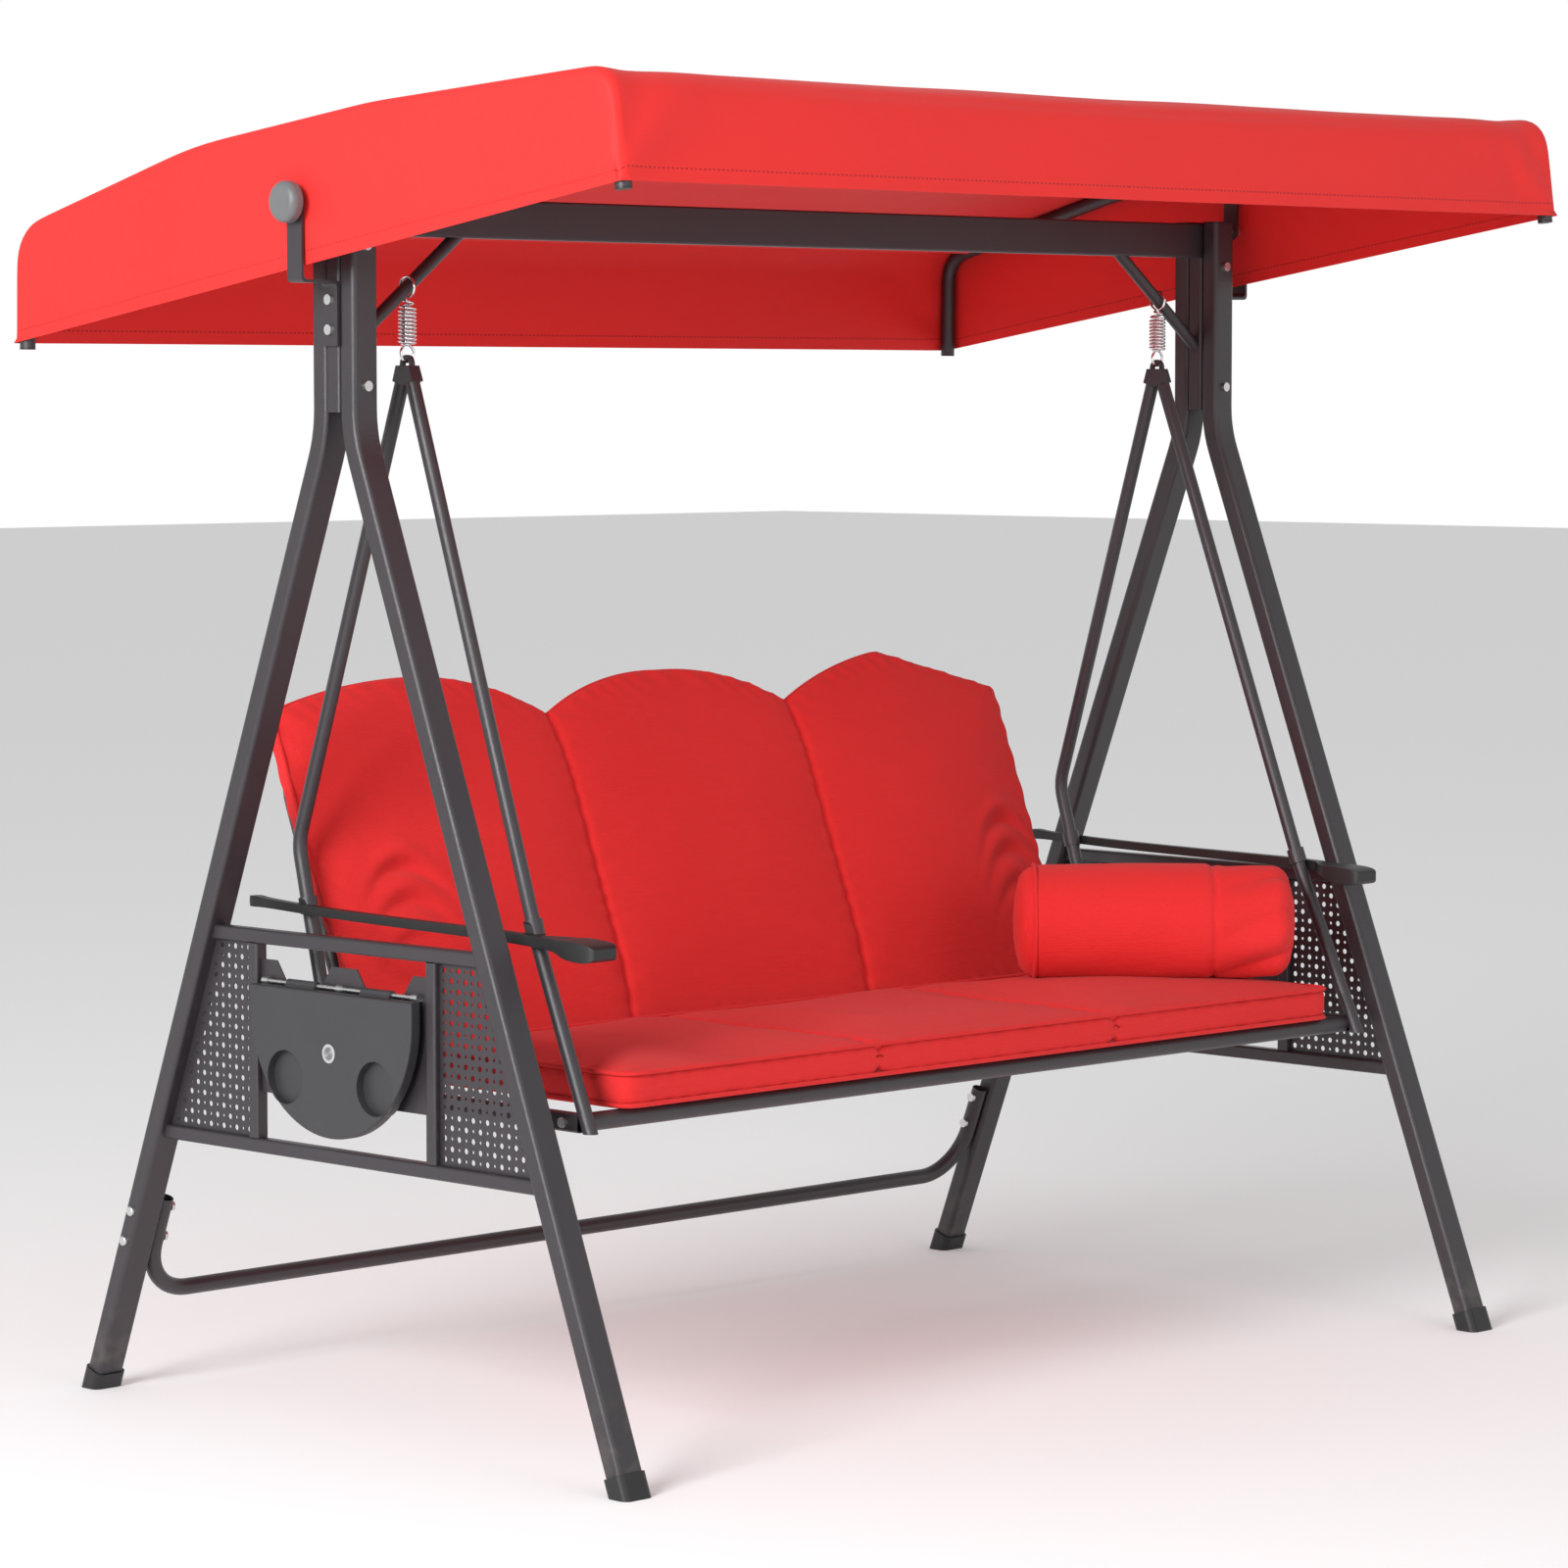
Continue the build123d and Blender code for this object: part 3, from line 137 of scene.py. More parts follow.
# %% A socket that can be added and multiplied
class Signal:
    """One output socket of a finish."""

    def __init__(self, finish, socket):
        self.finish, self.socket = finish, socket

    def maths(self, operation, *values):
        inputs = dict(enumerate(values))
        return self.finish.node("ShaderNodeMath", {"operation": operation}, inputs)

    def __add__(self, other):
        return self.maths("ADD", self, other)

    def __sub__(self, other):
        return self.maths("SUBTRACT", self, other)

    def __rsub__(self, other):
        return self.maths("SUBTRACT", other, self)

    def __mul__(self, other):
        return self.maths("MULTIPLY", self, other)

    __radd__, __rmul__ = __add__, __mul__

    def wave(self):
        return self.maths("SINE", self)

    def size(self):
        return self.maths("ABSOLUTE", self)


# %% A finish under construction
class Finish:
    """A material with one Principled shader; fixed values go straight on its sockets."""

    def __init__(self, name, fixed):
        self.material = bpy.data.materials.new(name)
        self.material.use_nodes = True
        self.tree = self.material.node_tree
        self.shader = self.tree.nodes["Principled BSDF"]
        for socket, value in fixed.items():
            self.shader.inputs[socket].default_value = value
        self.place = self.node("ShaderNodeTexCoord", output="Object")

    def node(self, kind, settings=None, inputs=None, output=0):
        """Add a node: first its settings, then the values or links of its sockets."""
        made = self.tree.nodes.new(kind)
        for name, value in (settings or {}).items():
            if name == "stops":
                for stop, (position, colour) in zip(made.color_ramp.elements, value):
                    stop.position, stop.color = position, colour
            else:
                setattr(made, name, value)
        for name, value in (inputs or {}).items():
            if isinstance(value, Signal):
                self.tree.links.new(value.socket, made.inputs[name])
            else:
                made.inputs[name].default_value = value
        return Signal(self, made.outputs[output])

    def noise(self, scale, detail=3.0, vector=None, stretch=None):
        """Cloudy noise from 0 to 1, in lumps of about 1 / scale metres."""
        vector = vector or self.place
        if stretch:
            vector = self.node("ShaderNodeMapping", inputs={0: vector, "Scale": stretch})
        inputs = {"Vector": vector, "Scale": scale, "Detail": detail}
        return self.node("ShaderNodeTexNoise", inputs=inputs)

    def step(self, value, low, high, floor=0.0, ceiling=1.0):
        """A smooth step from floor to ceiling as the value goes from low to high."""
        settings = {"interpolation_type": "SMOOTHSTEP"}
        inputs = {0: value, 1: low, 2: high, 3: floor, 4: ceiling}
        return self.node("ShaderNodeMapRange", settings, inputs)

    def attribute(self, name):
        return self.node("ShaderNodeAttribute", {"attribute_name": name}, output="Fac")

    def axes(self):
        """The three coordinates of the surface, apart."""
        split = self.node("ShaderNodeSeparateXYZ", inputs={0: self.place}).socket.node
        return [Signal(self, split.outputs[i]) for i in range(3)]

    def mix(self, share, first, second):
        """A colour between two colours."""
        inputs = {0: share, 6: first, 7: second}
        return self.node("ShaderNodeMix", {"data_type": "RGBA"}, inputs, output=2)

    def wire(self, socket, signal):
        self.tree.links.new(signal.socket, self.shader.inputs[socket])

    def relief(self, height, depth):
        """Bump the surface by a height signal from 0 to 1, so many metres deep."""
        inputs = {"Height": height, "Distance": depth, "Strength": 1.0}
        self.wire("Normal", self.node("ShaderNodeBump", inputs=inputs))


# %% [markdown]
# ## Finishes of the metal and plastic
# Powder coat is paint baked from dust: a satin skin with a faint orange-peel, never quite one
# colour, and a little dustier near the ground. Plated parts keep a metal's tinted reflection.


# %% Powder coat
def powder_coat():
    finish = Finish("powder_coat", {"IOR": 1.5, "Specular IOR Level": 0.62})
    clouds = finish.noise(6.0, 4.0)
    specks = finish.noise(900.0, 2.0)
    height = finish.axes()[2]
    dust = finish.step(height, 0.0, 0.16, 0.35, 0.0) * finish.step(finish.noise(38.0), 0.42, 0.68)
    paint = finish.mix(clouds, (0.020, 0.016, 0.020, 1), (0.034, 0.028, 0.033, 1))
    finish.wire("Base Color", finish.mix(dust, paint, (0.16, 0.14, 0.12, 1)))
    finish.wire("Roughness", finish.step(clouds, 0.3, 0.7, 0.33, 0.43) + dust * 0.4)
    finish.relief(specks, 0.00035)
    return finish.material


# %% Zinc-plated bolts
def zinc_plate():
    finish = Finish("zinc_plate", {"Metallic": 1.0})
    bloom = finish.noise(220.0, 4.0)
    finish.wire("Base Color", finish.mix(bloom, (0.56, 0.56, 0.57, 1), (0.78, 0.78, 0.77, 1)))
    finish.wire("Roughness", finish.step(bloom, 0.3, 0.7, 0.26, 0.45))
    finish.relief(bloom, 0.0002)
    return finish.material


# %% Bright plated spring wire
def bright_plate():
    finish = Finish("bright_plate", {"Metallic": 1.0})
    haze = finish.noise(160.0, 3.0)
    finish.wire("Base Color", finish.mix(haze, (0.70, 0.70, 0.72, 1), (0.90, 0.90, 0.91, 1)))
    finish.wire("Roughness", finish.step(haze, 0.35, 0.7, 0.10, 0.26))
    return finish.material


# %% Moulded plastics, which differ only in colour and grain
def moulded_plastic(name, dark, light, roughness, grain):
    finish = Finish(name, {"IOR": 1.48})
    flow = finish.noise(14.0, 3.0)
    pebbles = finish.noise(grain, 2.0)
    finish.wire("Base Color", finish.mix(flow, dark, light))
    finish.wire("Roughness", finish.step(flow, 0.3, 0.7, roughness - 0.04, roughness + 0.05))
    finish.relief(pebbles, 0.00025)
    return finish.material


# %% Satin aluminium badge with turned rings
def turned_badge(middle):
    finish = Finish("turned_badge", {"Metallic": 1.0})
    ring_pitch = 1.9 * millimetre
    border_from, border_to = 8.6 * millimetre, 9.2 * millimetre
    shift = {0: finish.place, "Location": (0, -middle.y, -middle.z)}
    centred = finish.node("ShaderNodeMapping", inputs=shift)
    times = {"operation": "MULTIPLY"}
    length = {"operation": "LENGTH"}
    flat = finish.node("ShaderNodeVectorMath", times, {0: centred, 1: (0, 1, 1)})
    radius = finish.node("ShaderNodeVectorMath", length, {0: flat}, output="Value")
    rings = (radius * (2 * pi / ring_pitch)).wave() * 0.5 + 0.5
    border = finish.step(radius, border_from, border_to)
    finish.wire("Base Color", finish.mix(border, (0.30, 0.30, 0.31, 1), (0.72, 0.72, 0.73, 1)))
    finish.wire("Roughness", finish.step(border, 0, 1, 0.48, 0.28))
    finish.relief(rings * (1 - border), 0.0004)
    return finish.material


# %% [markdown]
# ## Finishes of the cloth
# The canopy is coated polyester: a tight plain weave, a slight sheen, and rows of lock stitch along
# its hems. The stitches follow the hem, so they read an attribute that holds each point's distance
# from the edge. The cushions are a looser weave with thick and thin threads, which shows as slubs.


# %% Coated canopy cloth
def canopy_cloth():
    fixed = {"Sheen Weight": 0.04, "Sheen Roughness": 0.45, "IOR": 1.45, "Specular IOR Level": 0.30}
    thread_pitch, stitch_pitch, seam_from_edge = 1.6 * millimetre, 0.008, 0.018
    finish = Finish("canopy_cloth", fixed)
    x, y, z = finish.axes()
    thread = 2 * pi / thread_pitch
    weave = (x * thread).wave() * ((y + z) * thread).wave() * 0.5 + 0.5
    fade = finish.noise(2.2, 4.0)
    crumple = finish.noise(26.0, 5.0, stretch=(1.0, 1.6, 1.6))
    edge, run = finish.attribute("hem_distance"), finish.attribute("hem_run")
    row = 1 - finish.step((edge - seam_from_edge).size(), 0.0007, 0.0016)
    dash = finish.step((run * (2 * pi / stitch_pitch)).wave(), -0.35, 0.0)
    stitch = row * dash
    dyed = finish.mix(fade, (0.72, 0.020, 0.018, 1), (0.80, 0.030, 0.027, 1))
    finish.wire("Base Color", finish.mix(stitch * 0.75, dyed, (0.34, 0.012, 0.012, 1)))
    finish.wire("Roughness", finish.step(fade, 0.3, 0.7, 0.58, 0.70))
    finish.relief(weave * 0.10 + crumple * 0.75 + stitch * 0.45, 0.0011)
    return finish.material


# %% Woven cushion cloth
def cushion_cloth():
    fixed = {"Sheen Weight": 0.05, "Sheen Roughness": 0.5, "IOR": 1.42, "Specular IOR Level": 0.28}
    thread_pitch = 2.1 * millimetre
    finish = Finish("cushion_cloth", fixed)
    x, y, z = finish.axes()
    thread = 2 * pi / thread_pitch
    weave = (x * thread).wave() * ((y + z) * thread).wave() * 0.5 + 0.5
    slub = finish.noise(70.0, 3.0, stretch=(0.35, 5.0, 5.0))
    fade = finish.noise(3.0, 4.0)
    creases = finish.noise(16.0, 6.0, stretch=(1.3, 0.8, 0.8))
    pale = finish.mix(slub, (0.68, 0.020, 0.021, 1), (0.78, 0.032, 0.032, 1))
    finish.wire("Base Color", finish.mix(fade * 0.5, pale, (0.60, 0.016, 0.017, 1)))
    finish.wire("Roughness", finish.step(slub, 0.3, 0.7, 0.78, 0.90))
    finish.relief(weave * 0.16 + slub * 0.25 + creases * 0.75, 0.0022)
    return finish.material


# %% Dress every CAD piece in its slot's finish
badge_low, badge_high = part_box("left_table_badge")
near_black = (0.010, 0.010, 0.011, 1), (0.019, 0.019, 0.020, 1)
dark_grey = (0.030, 0.029, 0.032, 1), (0.041, 0.040, 0.043, 1)
mid_grey = (0.11, 0.115, 0.12, 1), (0.15, 0.156, 0.16, 1)
finishes = {
    "frame": powder_coat(),
    "steel_fastener": zinc_plate(),
    "spring_steel": bright_plate(),
    "black_plastic": moulded_plastic("black_plastic", *near_black, 0.42, 1100),
    "table_plastic": moulded_plastic("table_plastic", *dark_grey, 0.40, 900),
    "knob_plastic": moulded_plastic("knob_plastic", *mid_grey, 0.36, 1400),
    "badge": turned_badge((badge_low + badge_high) / 2),
    "canopy_fabric": canopy_cloth(),
    "cushion_fabric": cushion_cloth(),
}
slots = {part["node"]: part["material_slot"] for part in frame["record"]["subparts"]}
for name, piece in nodes.items():
    piece.data.materials.clear()
    piece.data.materials.append(finishes[slots[name]])
print("finishes", len(finishes))


def dress(piece, slot, body):
    """Give a new piece the finish of its slot and let it ride on a body."""
    piece.data.materials.clear()
    piece.data.materials.append(finishes[slot])
    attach(piece, body)
    return piece


# %% [markdown]
# ## The canopy cover
# The real cover is one sewn bag: a top that runs over three cross tubes, a valance front and rear,
# and a flat panel each side that ends in a slanting hem. Five CAD panels stand for it. One grid of
# quads is laid over their outline here, so the cloth is continuous round every edge.
#
# Cloth held only at its sides hangs a little between them. The sag is a formula: none where a
# tube carries the cloth, most between the tubes, and fading out towards the side rails.

# %% Read the side outline from the CAD panels
side_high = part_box("canopy_side_valances")[1]
half_wide = side_high.x
half_deep = side_high.y
panel_points = places(nodes["canopy_side_valances"])
on_outside = panel_points[:, 0] > half_wide - 1e-4
outline_points = {(round(p[1], 5), round(p[2], 5)) for p in panel_points[on_outside]}
pivot_z = next(j["pos_m"][2] for j in frame["joints"] if j["name"] == "canopy_tilt")
hole_reach = 0.02
outline_points = [p for p in outline_points if hypot(p[0], p[1] - pivot_z) > hole_reach]
front_hem_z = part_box("canopy_front_valance")[0].z
outline_points.sort(key=lambda p: -atan2(p[1] - pivot_z, p[0]) % (2 * pi))


def from_front_hem(number):
    """How far an outline point lies from the front hem's lower corner."""
    y, z = outline_points[number]
    return hypot(y + half_deep, z - front_hem_z)


start = min(range(len(outline_points)), key=from_front_hem)
profile = np.array(outline_points[start:] + outline_points[:start])
longest_step = 0.5
if hypot(*(profile[1] - profile[0])) > longest_step:
    profile = np.vstack([profile[:1], profile[1:][::-1]])
lengths = np.concatenate([[0], np.cumsum(np.hypot(*np.diff(profile, axis=0).T))])
print("profile", len(profile), "length", round(lengths[-1], 3), profile[0], profile[-1])

# %% Space the outline evenly
rows = 150
spaced = np.linspace(0, lengths[-1], rows)
side_line = np.column_stack([np.interp(spaced, lengths, profile[:, i]) for i in range(2)])
for _ in range(3):
    side_line[1:-1] = (side_line[:-2] + 2 * side_line[1:-1] + side_line[2:]) / 4
along = np.gradient(side_line, axis=0)
along /= np.linalg.norm(along, axis=1)[:, None]
inward = np.column_stack([along[:, 1], -along[:, 0]])
hem_line = np.column_stack([
    np.interp(spaced, (0, spaced[-1]), (side_line[0, i], side_line[-1, i])) for i in range(2)])
down = hem_line - side_line
drop = np.linalg.norm(down, axis=1)
down /= np.maximum(drop, 1e-6)[:, None]
print("side panel is", round(drop.max(), 3), "m deep at most")

# %% [markdown]
# Where the cross tubes lie decides where the cloth may sag. They share one CAD piece, so its points
# are sorted into three groups along Y.

# %% Sag between the tubes
tube_points = places(nodes["canopy_cross_tubes"])
tube_cut = 0.3
tube_y = tube_points[:, 1]
tube_groups = [tube_points[tube_y < -tube_cut],
               tube_points[abs(tube_y) < tube_cut],
               tube_points[tube_y > tube_cut]]
tube_middles = [((g[:, 1].min() + g[:, 1].max()) / 2, (g[:, 2].min() + g[:, 2].max()) / 2)
                for g in tube_groups]
tube_stations = [spaced[np.argmin(np.hypot(side_line[:, 0] - y, side_line[:, 1] - z))]
                 for y, z in tube_middles]
front_corner = spaced[np.argmax(side_line[:, 1] - 0.6 * side_line[:, 0])]
bay_sag = 0.013
sag_stations = [0, front_corner * 0.55, front_corner, tube_stations[0]]
sag_depths = [0.003, 0.010, 0.017, 0]
for first, second in zip(tube_stations, tube_stations[1:]):
    for share in (0.15, 0.35, 0.5, 0.65, 0.85):
        sag_stations.append(first + (second - first) * share)
        sag_depths.append(bay_sag * sin(pi * share))
    sag_stations.append(second)
    sag_depths.append(0)
sag_stations += [(tube_stations[2] + spaced[-1]) / 2, spaced[-1]]
sag_depths += [0.008, 0.003]
sag = np.interp(spaced, sag_stations, sag_depths)
print("tubes at", [round(s, 3) for s in tube_stations])
print("front corner at", round(front_corner, 3))

# %% [markdown]
# Across the swing the grid runs down one side panel, round a soft edge, over the top and down the
# other side. The hem has rows of its own close to the edge, so that its folded band has a step.

# %% Columns of the grid
edge_radius = 0.013
hem_band = 0.024
hem_steps = (0, 0.003, 0.015, 0.018, 0.021, hem_band, 0.029)
side_shares = np.linspace(0, 1, 9)[1:]
side_levels = len(hem_steps) + len(side_shares)
top_columns = 110
arc_columns = 5


def side_row(span, radius):
    """One grid row down a side panel, as (x, depth) from the hem up and round the edge."""
    squeeze = min(1, span / 0.08)
    depths = [h * squeeze for h in hem_steps]
    levels = [span - depth for depth in depths]
    if span - radius > depths[-1]:
        levels += [span - (depths[-1] + (span - radius - depths[-1]) * s) for s in side_shares]
    levels += [radius] * (side_levels - len(levels))
    row = [(half_wide, max(level, radius)) for level in levels]
    for k in range(1, arc_columns):
        angle = pi / 2 * k / arc_columns
        row.append((half_wide - radius * (1 - cos(angle)), radius * (1 - sin(angle))))
    return row, [span - level for level in levels]


# %% [markdown]
# The cloth isn't a smooth skin. Folds fan out from the hem's corners, the top ripples faintly, one
# crease runs up the front valance, and the side panels billow outwards a little.

# %% Folds, ripples and billows
fold_depth, fold_reach, fold_count = 0.0035, 0.26, 7
ripple_depth = 0.0018
crease_depth, crease_width, crease_from = 0.0035, 0.011, 0.86
billow_depth = 0.0035


def corner_folds(x, to_end):
    """Soft folds that fan out from the hem's corners."""
    reach = half_wide - abs(x)
    fade = exp(-(hypot(reach, to_end) / fold_reach) ** 2)
    fan = sin(fold_count * atan2(to_end, reach + 0.02))
    return fold_depth * fade * fan * min(1, reach / 0.05)


def top_push(x, i, to_end):
    """How far the cloth of the top and valances lies inside the outline."""
    run = spaced[i]
    share = max(0, 1 - (abs(x) / (half_wide - edge_radius)) ** 3)
    push = sag[i] * share + corner_folds(x, to_end)
    push += ripple_depth * noise.noise(Vector((x * 5, run * 7, 0))) * share
    if run < front_corner:
        crease_x = crease_from - 0.25 * (run - 0.05)
        fade = exp(-((x - crease_x) / crease_width) ** 2)
        push += crease_depth * fade * sin(pi * run / front_corner)
    return push


def side_billow(x, depth, span, place):
    """How far a side panel stands out, most at half its depth."""
    soft = sin(pi * min(1, depth / max(span, 1e-6)))
    lump = 0.45 + noise.noise(Vector((place[0] * 4.5, place[1] * 3, 3 + x)))
    return max(0, billow_depth * soft * lump)


# %% Lay the grid
off_hem = 0.2
canopy_points, hem_distance, hem_run = [], [], []
for i in range(rows):
    radius = min(edge_radius, drop[i] * 0.98)
    row, to_hem = side_row(drop[i], radius)
    flat_from = half_wide - radius
    tops = [(flat_from * (1 - 2 * k / top_columns), 0) for k in range(top_columns + 1)]
    whole = row + tops + [(-x, depth) for x, depth in reversed(row)]
    columns = len(whole)
    to_end = min(spaced[i], spaced[-1] - spaced[i])
    for x, depth in whole:
        base = side_line[i] + down[i] * depth
        if depth == 0:
            base = base + inward[i] * top_push(x, i, to_end)
        billow = side_billow(x, depth, drop[i], base) if depth > radius else 0
        canopy_points.append((x + np.sign(x) * billow, base[0], base[1]))
    between = columns - 2 * len(to_hem)
    distances = to_hem + [off_hem] * between + to_hem[::-1]
    for (x, _), distance in zip(whole, distances):
        hem_distance.append(min(distance, to_end))
        hem_run.append(spaced[i] if distance < to_end else abs(x))

faces = [(i * columns + j, i * columns + j + 1, (i + 1) * columns + j + 1, (i + 1) * columns + j)
         for i in range(rows - 1) for j in range(columns - 1)]
canopy = mesh_piece("canopy_cover", canopy_points, faces)
for name, values in (("hem_distance", hem_distance), ("hem_run", hem_run)):
    attribute = canopy.data.attributes.new(name, "FLOAT", "POINT")
    attribute.data.foreach_set("value", np.array(values, np.float32))

# %% [markdown]
# The ends of the side panels shrink to a point, so doubled points are merged there. The normals are
# then turned outwards, and only after that does the cloth get its thickness.

# %% Give the cloth its thickness
pick(canopy)
bpy.ops.object.mode_set(mode="EDIT")
bpy.ops.mesh.select_all(action="SELECT")
bpy.ops.mesh.remove_doubles(threshold=0.0004)
bpy.ops.mesh.normals_make_consistent(inside=False)
bpy.ops.object.mode_set(mode="OBJECT")
top_normal = max(canopy.data.polygons, key=lambda f: f.center.z).normal
if top_normal.z < 0:
    canopy.data.flip_normals()
settle(canopy, "SOLIDIFY", thickness=0.0014, offset=-1.0, use_rim=True)
smooth(canopy, 50)
dress(canopy, "canopy_fabric", "canopy")
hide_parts("canopy_top", "canopy_front_valance", "canopy_rear_valance",
            "canopy_side_valances")

# %% [markdown]
# ## Sleeves that hold the cross tubes
# Seen from below, the cross tubes are not bare metal: each runs in a sleeve of the same cloth, sewn
# to the underside. A cylinder without ends is enough, cut into short lengths so that its cloth can
# lie a little slack here and there.

# %% Sew the sleeves
sleeve_radius = 0.0115
sleeve_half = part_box("canopy_cross_tubes")[1].x - 0.025
sleeve_slack = 0.0010
sleeve_cuts = 90
sleeves = []
for number, (y, z) in enumerate(tube_middles):
    bpy.ops.object.select_all(action="DESELECT")
    bpy.ops.mesh.primitive_cylinder_add(
        vertices=24, radius=sleeve_radius, depth=2 * sleeve_half, end_fill_type="NOTHING",
        location=(0, y, z), rotation=(0, pi / 2, 0))
    sleeve = bpy.context.object
    bpy.ops.object.transform_apply(location=True, rotation=True, scale=True)
    bpy.ops.object.mode_set(mode="EDIT")
    bpy.ops.mesh.select_mode(type="EDGE")
    bpy.ops.mesh.select_all(action="DESELECT")
    tube_mesh = bmesh.from_edit_mesh(sleeve.data)
    for edge in tube_mesh.edges:
        edge.select_set(edge.calc_length() > sleeve_half)
    bmesh.update_edit_mesh(sleeve.data)
    bpy.ops.mesh.subdivide(number_cuts=sleeve_cuts)
    bpy.ops.object.mode_set(mode="OBJECT")
    net = places(sleeve)
    for p in net:
        turn = atan2(p[2] - z, p[1] - y)
        lump = Vector((p[0] * 16, cos(turn) * 1.5, sin(turn) * 1.5 + number))
        slack = sleeve_slack * noise.noise(lump)
        p[1] += cos(turn) * slack
        p[2] += sin(turn) * slack
    place_all(sleeve, net)
    sleeves.append(sleeve)
sleeve = join("canopy_tube_sleeves", sleeves)
settle(sleeve, "SOLIDIFY", thickness=0.0012, offset=-1.0)
smooth(sleeve, 60)
dress(sleeve, "canopy_fabric", "canopy")

# %% [markdown]
# ## Stuffing a cushion
# A cushion is drawn flat as an outline, given its thickness, and turned into an even net of small
# quads. Then it is blown up by the cloth solver while its seams are pinned, which is what the
# stuffing does to the real one: the panels bulge, the seams stay.
#
# All of that happens in the cushion's own flat frame: x across, y up the panel and z out of its
# face. At the end it is laid onto the bench.

# %% Distance from points to a line
def distance_to(line, points, closed=True):
    """Shortest distance from each (x, y) point to a run of points."""
    ends = np.roll(line, -1, axis=0) if closed else line[1:]
    starts = line if closed else line[:-1]
    best = np.full(len(points), 9.0)
    for a, b in zip(starts, ends):
        way = b - a
        share = np.clip(((points - a) @ way) / max(way @ way, 1e-12), 0, 1)
        best = np.minimum(best, np.linalg.norm(points - a - share[:, None] * way, axis=1))
    return best


# %% Cut, net, and shape a cushion
net_size = 0.0092


def gauss(distance, width):
    """A bump of height 1 that fades over about a width."""
    return np.exp(-(distance / width) ** 2)


def cut_cushion(name, outline, thick, seams, edge_share, crown_reach, under_share=None):
    """An evenly netted slab whose faces crown away from its outline and dip at its seams."""
    count = len(outline)
    points = [(x, y, side * thick / 2) for side in (-1, 1) for x, y in outline]
    faces = [tuple(range(count))[::-1], tuple(range(count, 2 * count))]
    for i in range(count):
        after = (i + 1) % count
        faces.append((i, after, count + after, count + i))
    slab = mesh_piece(name, points, faces)
    settle(slab, "TRIANGULATE")
    settle(slab, "REMESH", mode="VOXEL", voxel_size=net_size)
    net = places(slab)
    edge = distance_to(np.array(outline), net[:, :2])
    below = edge_share if under_share is None else under_share
    share = np.where(net[:, 2] > 0, edge_share, below)
    crown = share + (1 - share) * (1 - (1 - np.minimum(edge / crown_reach, 1)) ** 2)
    net[:, 2] *= crown
    for seam in seams:
        off = distance_to(np.array(seam), net[:, :2], closed=False)
        net[:, 2] *= 1 - 0.20 * gauss(off, 0.022)
    place_all(slab, net)
    return slab, edge


# %% Blow a cushion up with its seams pinned
stuffing_frames = 16
seam_hold, edge_hold = 0.007, 0.004


def stuff(slab, edge, seams, pressure, cap):
    """Cloth under pressure; no point may move further than the cap."""
    net = places(slab)
    held = edge < edge_hold
    for seam in seams:
        held |= distance_to(np.array(seam), net[:, :2], closed=False) < seam_hold
    group = slab.vertex_groups.new(name="held")
    group.add([int(i) for i in np.flatnonzero(held)], 1.0, "REPLACE")
    pick(slab)
    cloth = slab.modifiers.new("Cloth", "CLOTH")
    cloth.settings.quality = 4
    cloth.settings.use_pressure = True
    cloth.settings.uniform_pressure_force = pressure
    cloth.settings.effector_weights.gravity = 0
    cloth.settings.vertex_group_mass = "held"
    cloth.settings.tension_stiffness = 18
    cloth.settings.compression_stiffness = 8
    cloth.settings.bending_stiffness = 0.4
    cloth.collision_settings.use_self_collision = False
    cloth.point_cache.frame_start, cloth.point_cache.frame_end = 1, stuffing_frames
    for number in range(1, stuffing_frames + 1):
        bpy.context.scene.frame_set(number)
    bpy.ops.object.modifier_apply(modifier=cloth.name)
    blown = places(slab)
    move = blown - net
    reach = np.linalg.norm(move, axis=1)
    move *= np.minimum(1, cap / np.maximum(reach, 1e-9))[:, None]
    place_all(slab, net + move)
    print(slab.name, "moved", round(float(reach.mean()) * 1000, 1), "mm on average")


# %% Sew the channels and puckers
channel_width, pucker_reach, edge_pucker_reach = 0.0055, 0.020, 0.028
seam_pitch, edge_pitch = 0.034, 0.041
lump_height = 0.0022


def sew(slab, outline, seams, channel=0.007, pucker=0.0016):
    """Pull each seam in, and gather the cloth beside seams and edges into short puckers."""
    settle(slab, "SUBSURF", levels=1, render_levels=1)
    net = places(slab)
    half = np.sign(net[:, 2])
    edge = distance_to(np.array(outline), net[:, :2])
    for seam in seams:
        off = distance_to(np.array(seam), net[:, :2], closed=False)
        net[:, 2] -= half * channel * gauss(off, channel_width)
        gather = np.sin(net[:, 1] * 2 * pi / seam_pitch + 2.2 * np.sin(net[:, 1] * 31))
        net[:, 2] += half * pucker * gather * gauss(off, pucker_reach)
    uneven = 2.5 * np.sin(net[:, 0] * 23 + net[:, 1] * 17)
    gather = np.sin((net[:, 0] + net[:, 1]) * 2 * pi / edge_pitch + uneven)
    net[:, 2] += half * pucker * 0.8 * gather * gauss(edge, edge_pucker_reach)
    soft = [noise.noise(Vector((p[0] * 4.5, p[1] * 5.5, p[2] * 3 + 7))) for p in net]
    net[:, 2] += half * lump_height * np.array(soft) * np.minimum(edge / 0.05, 1)
    place_all(slab, net)


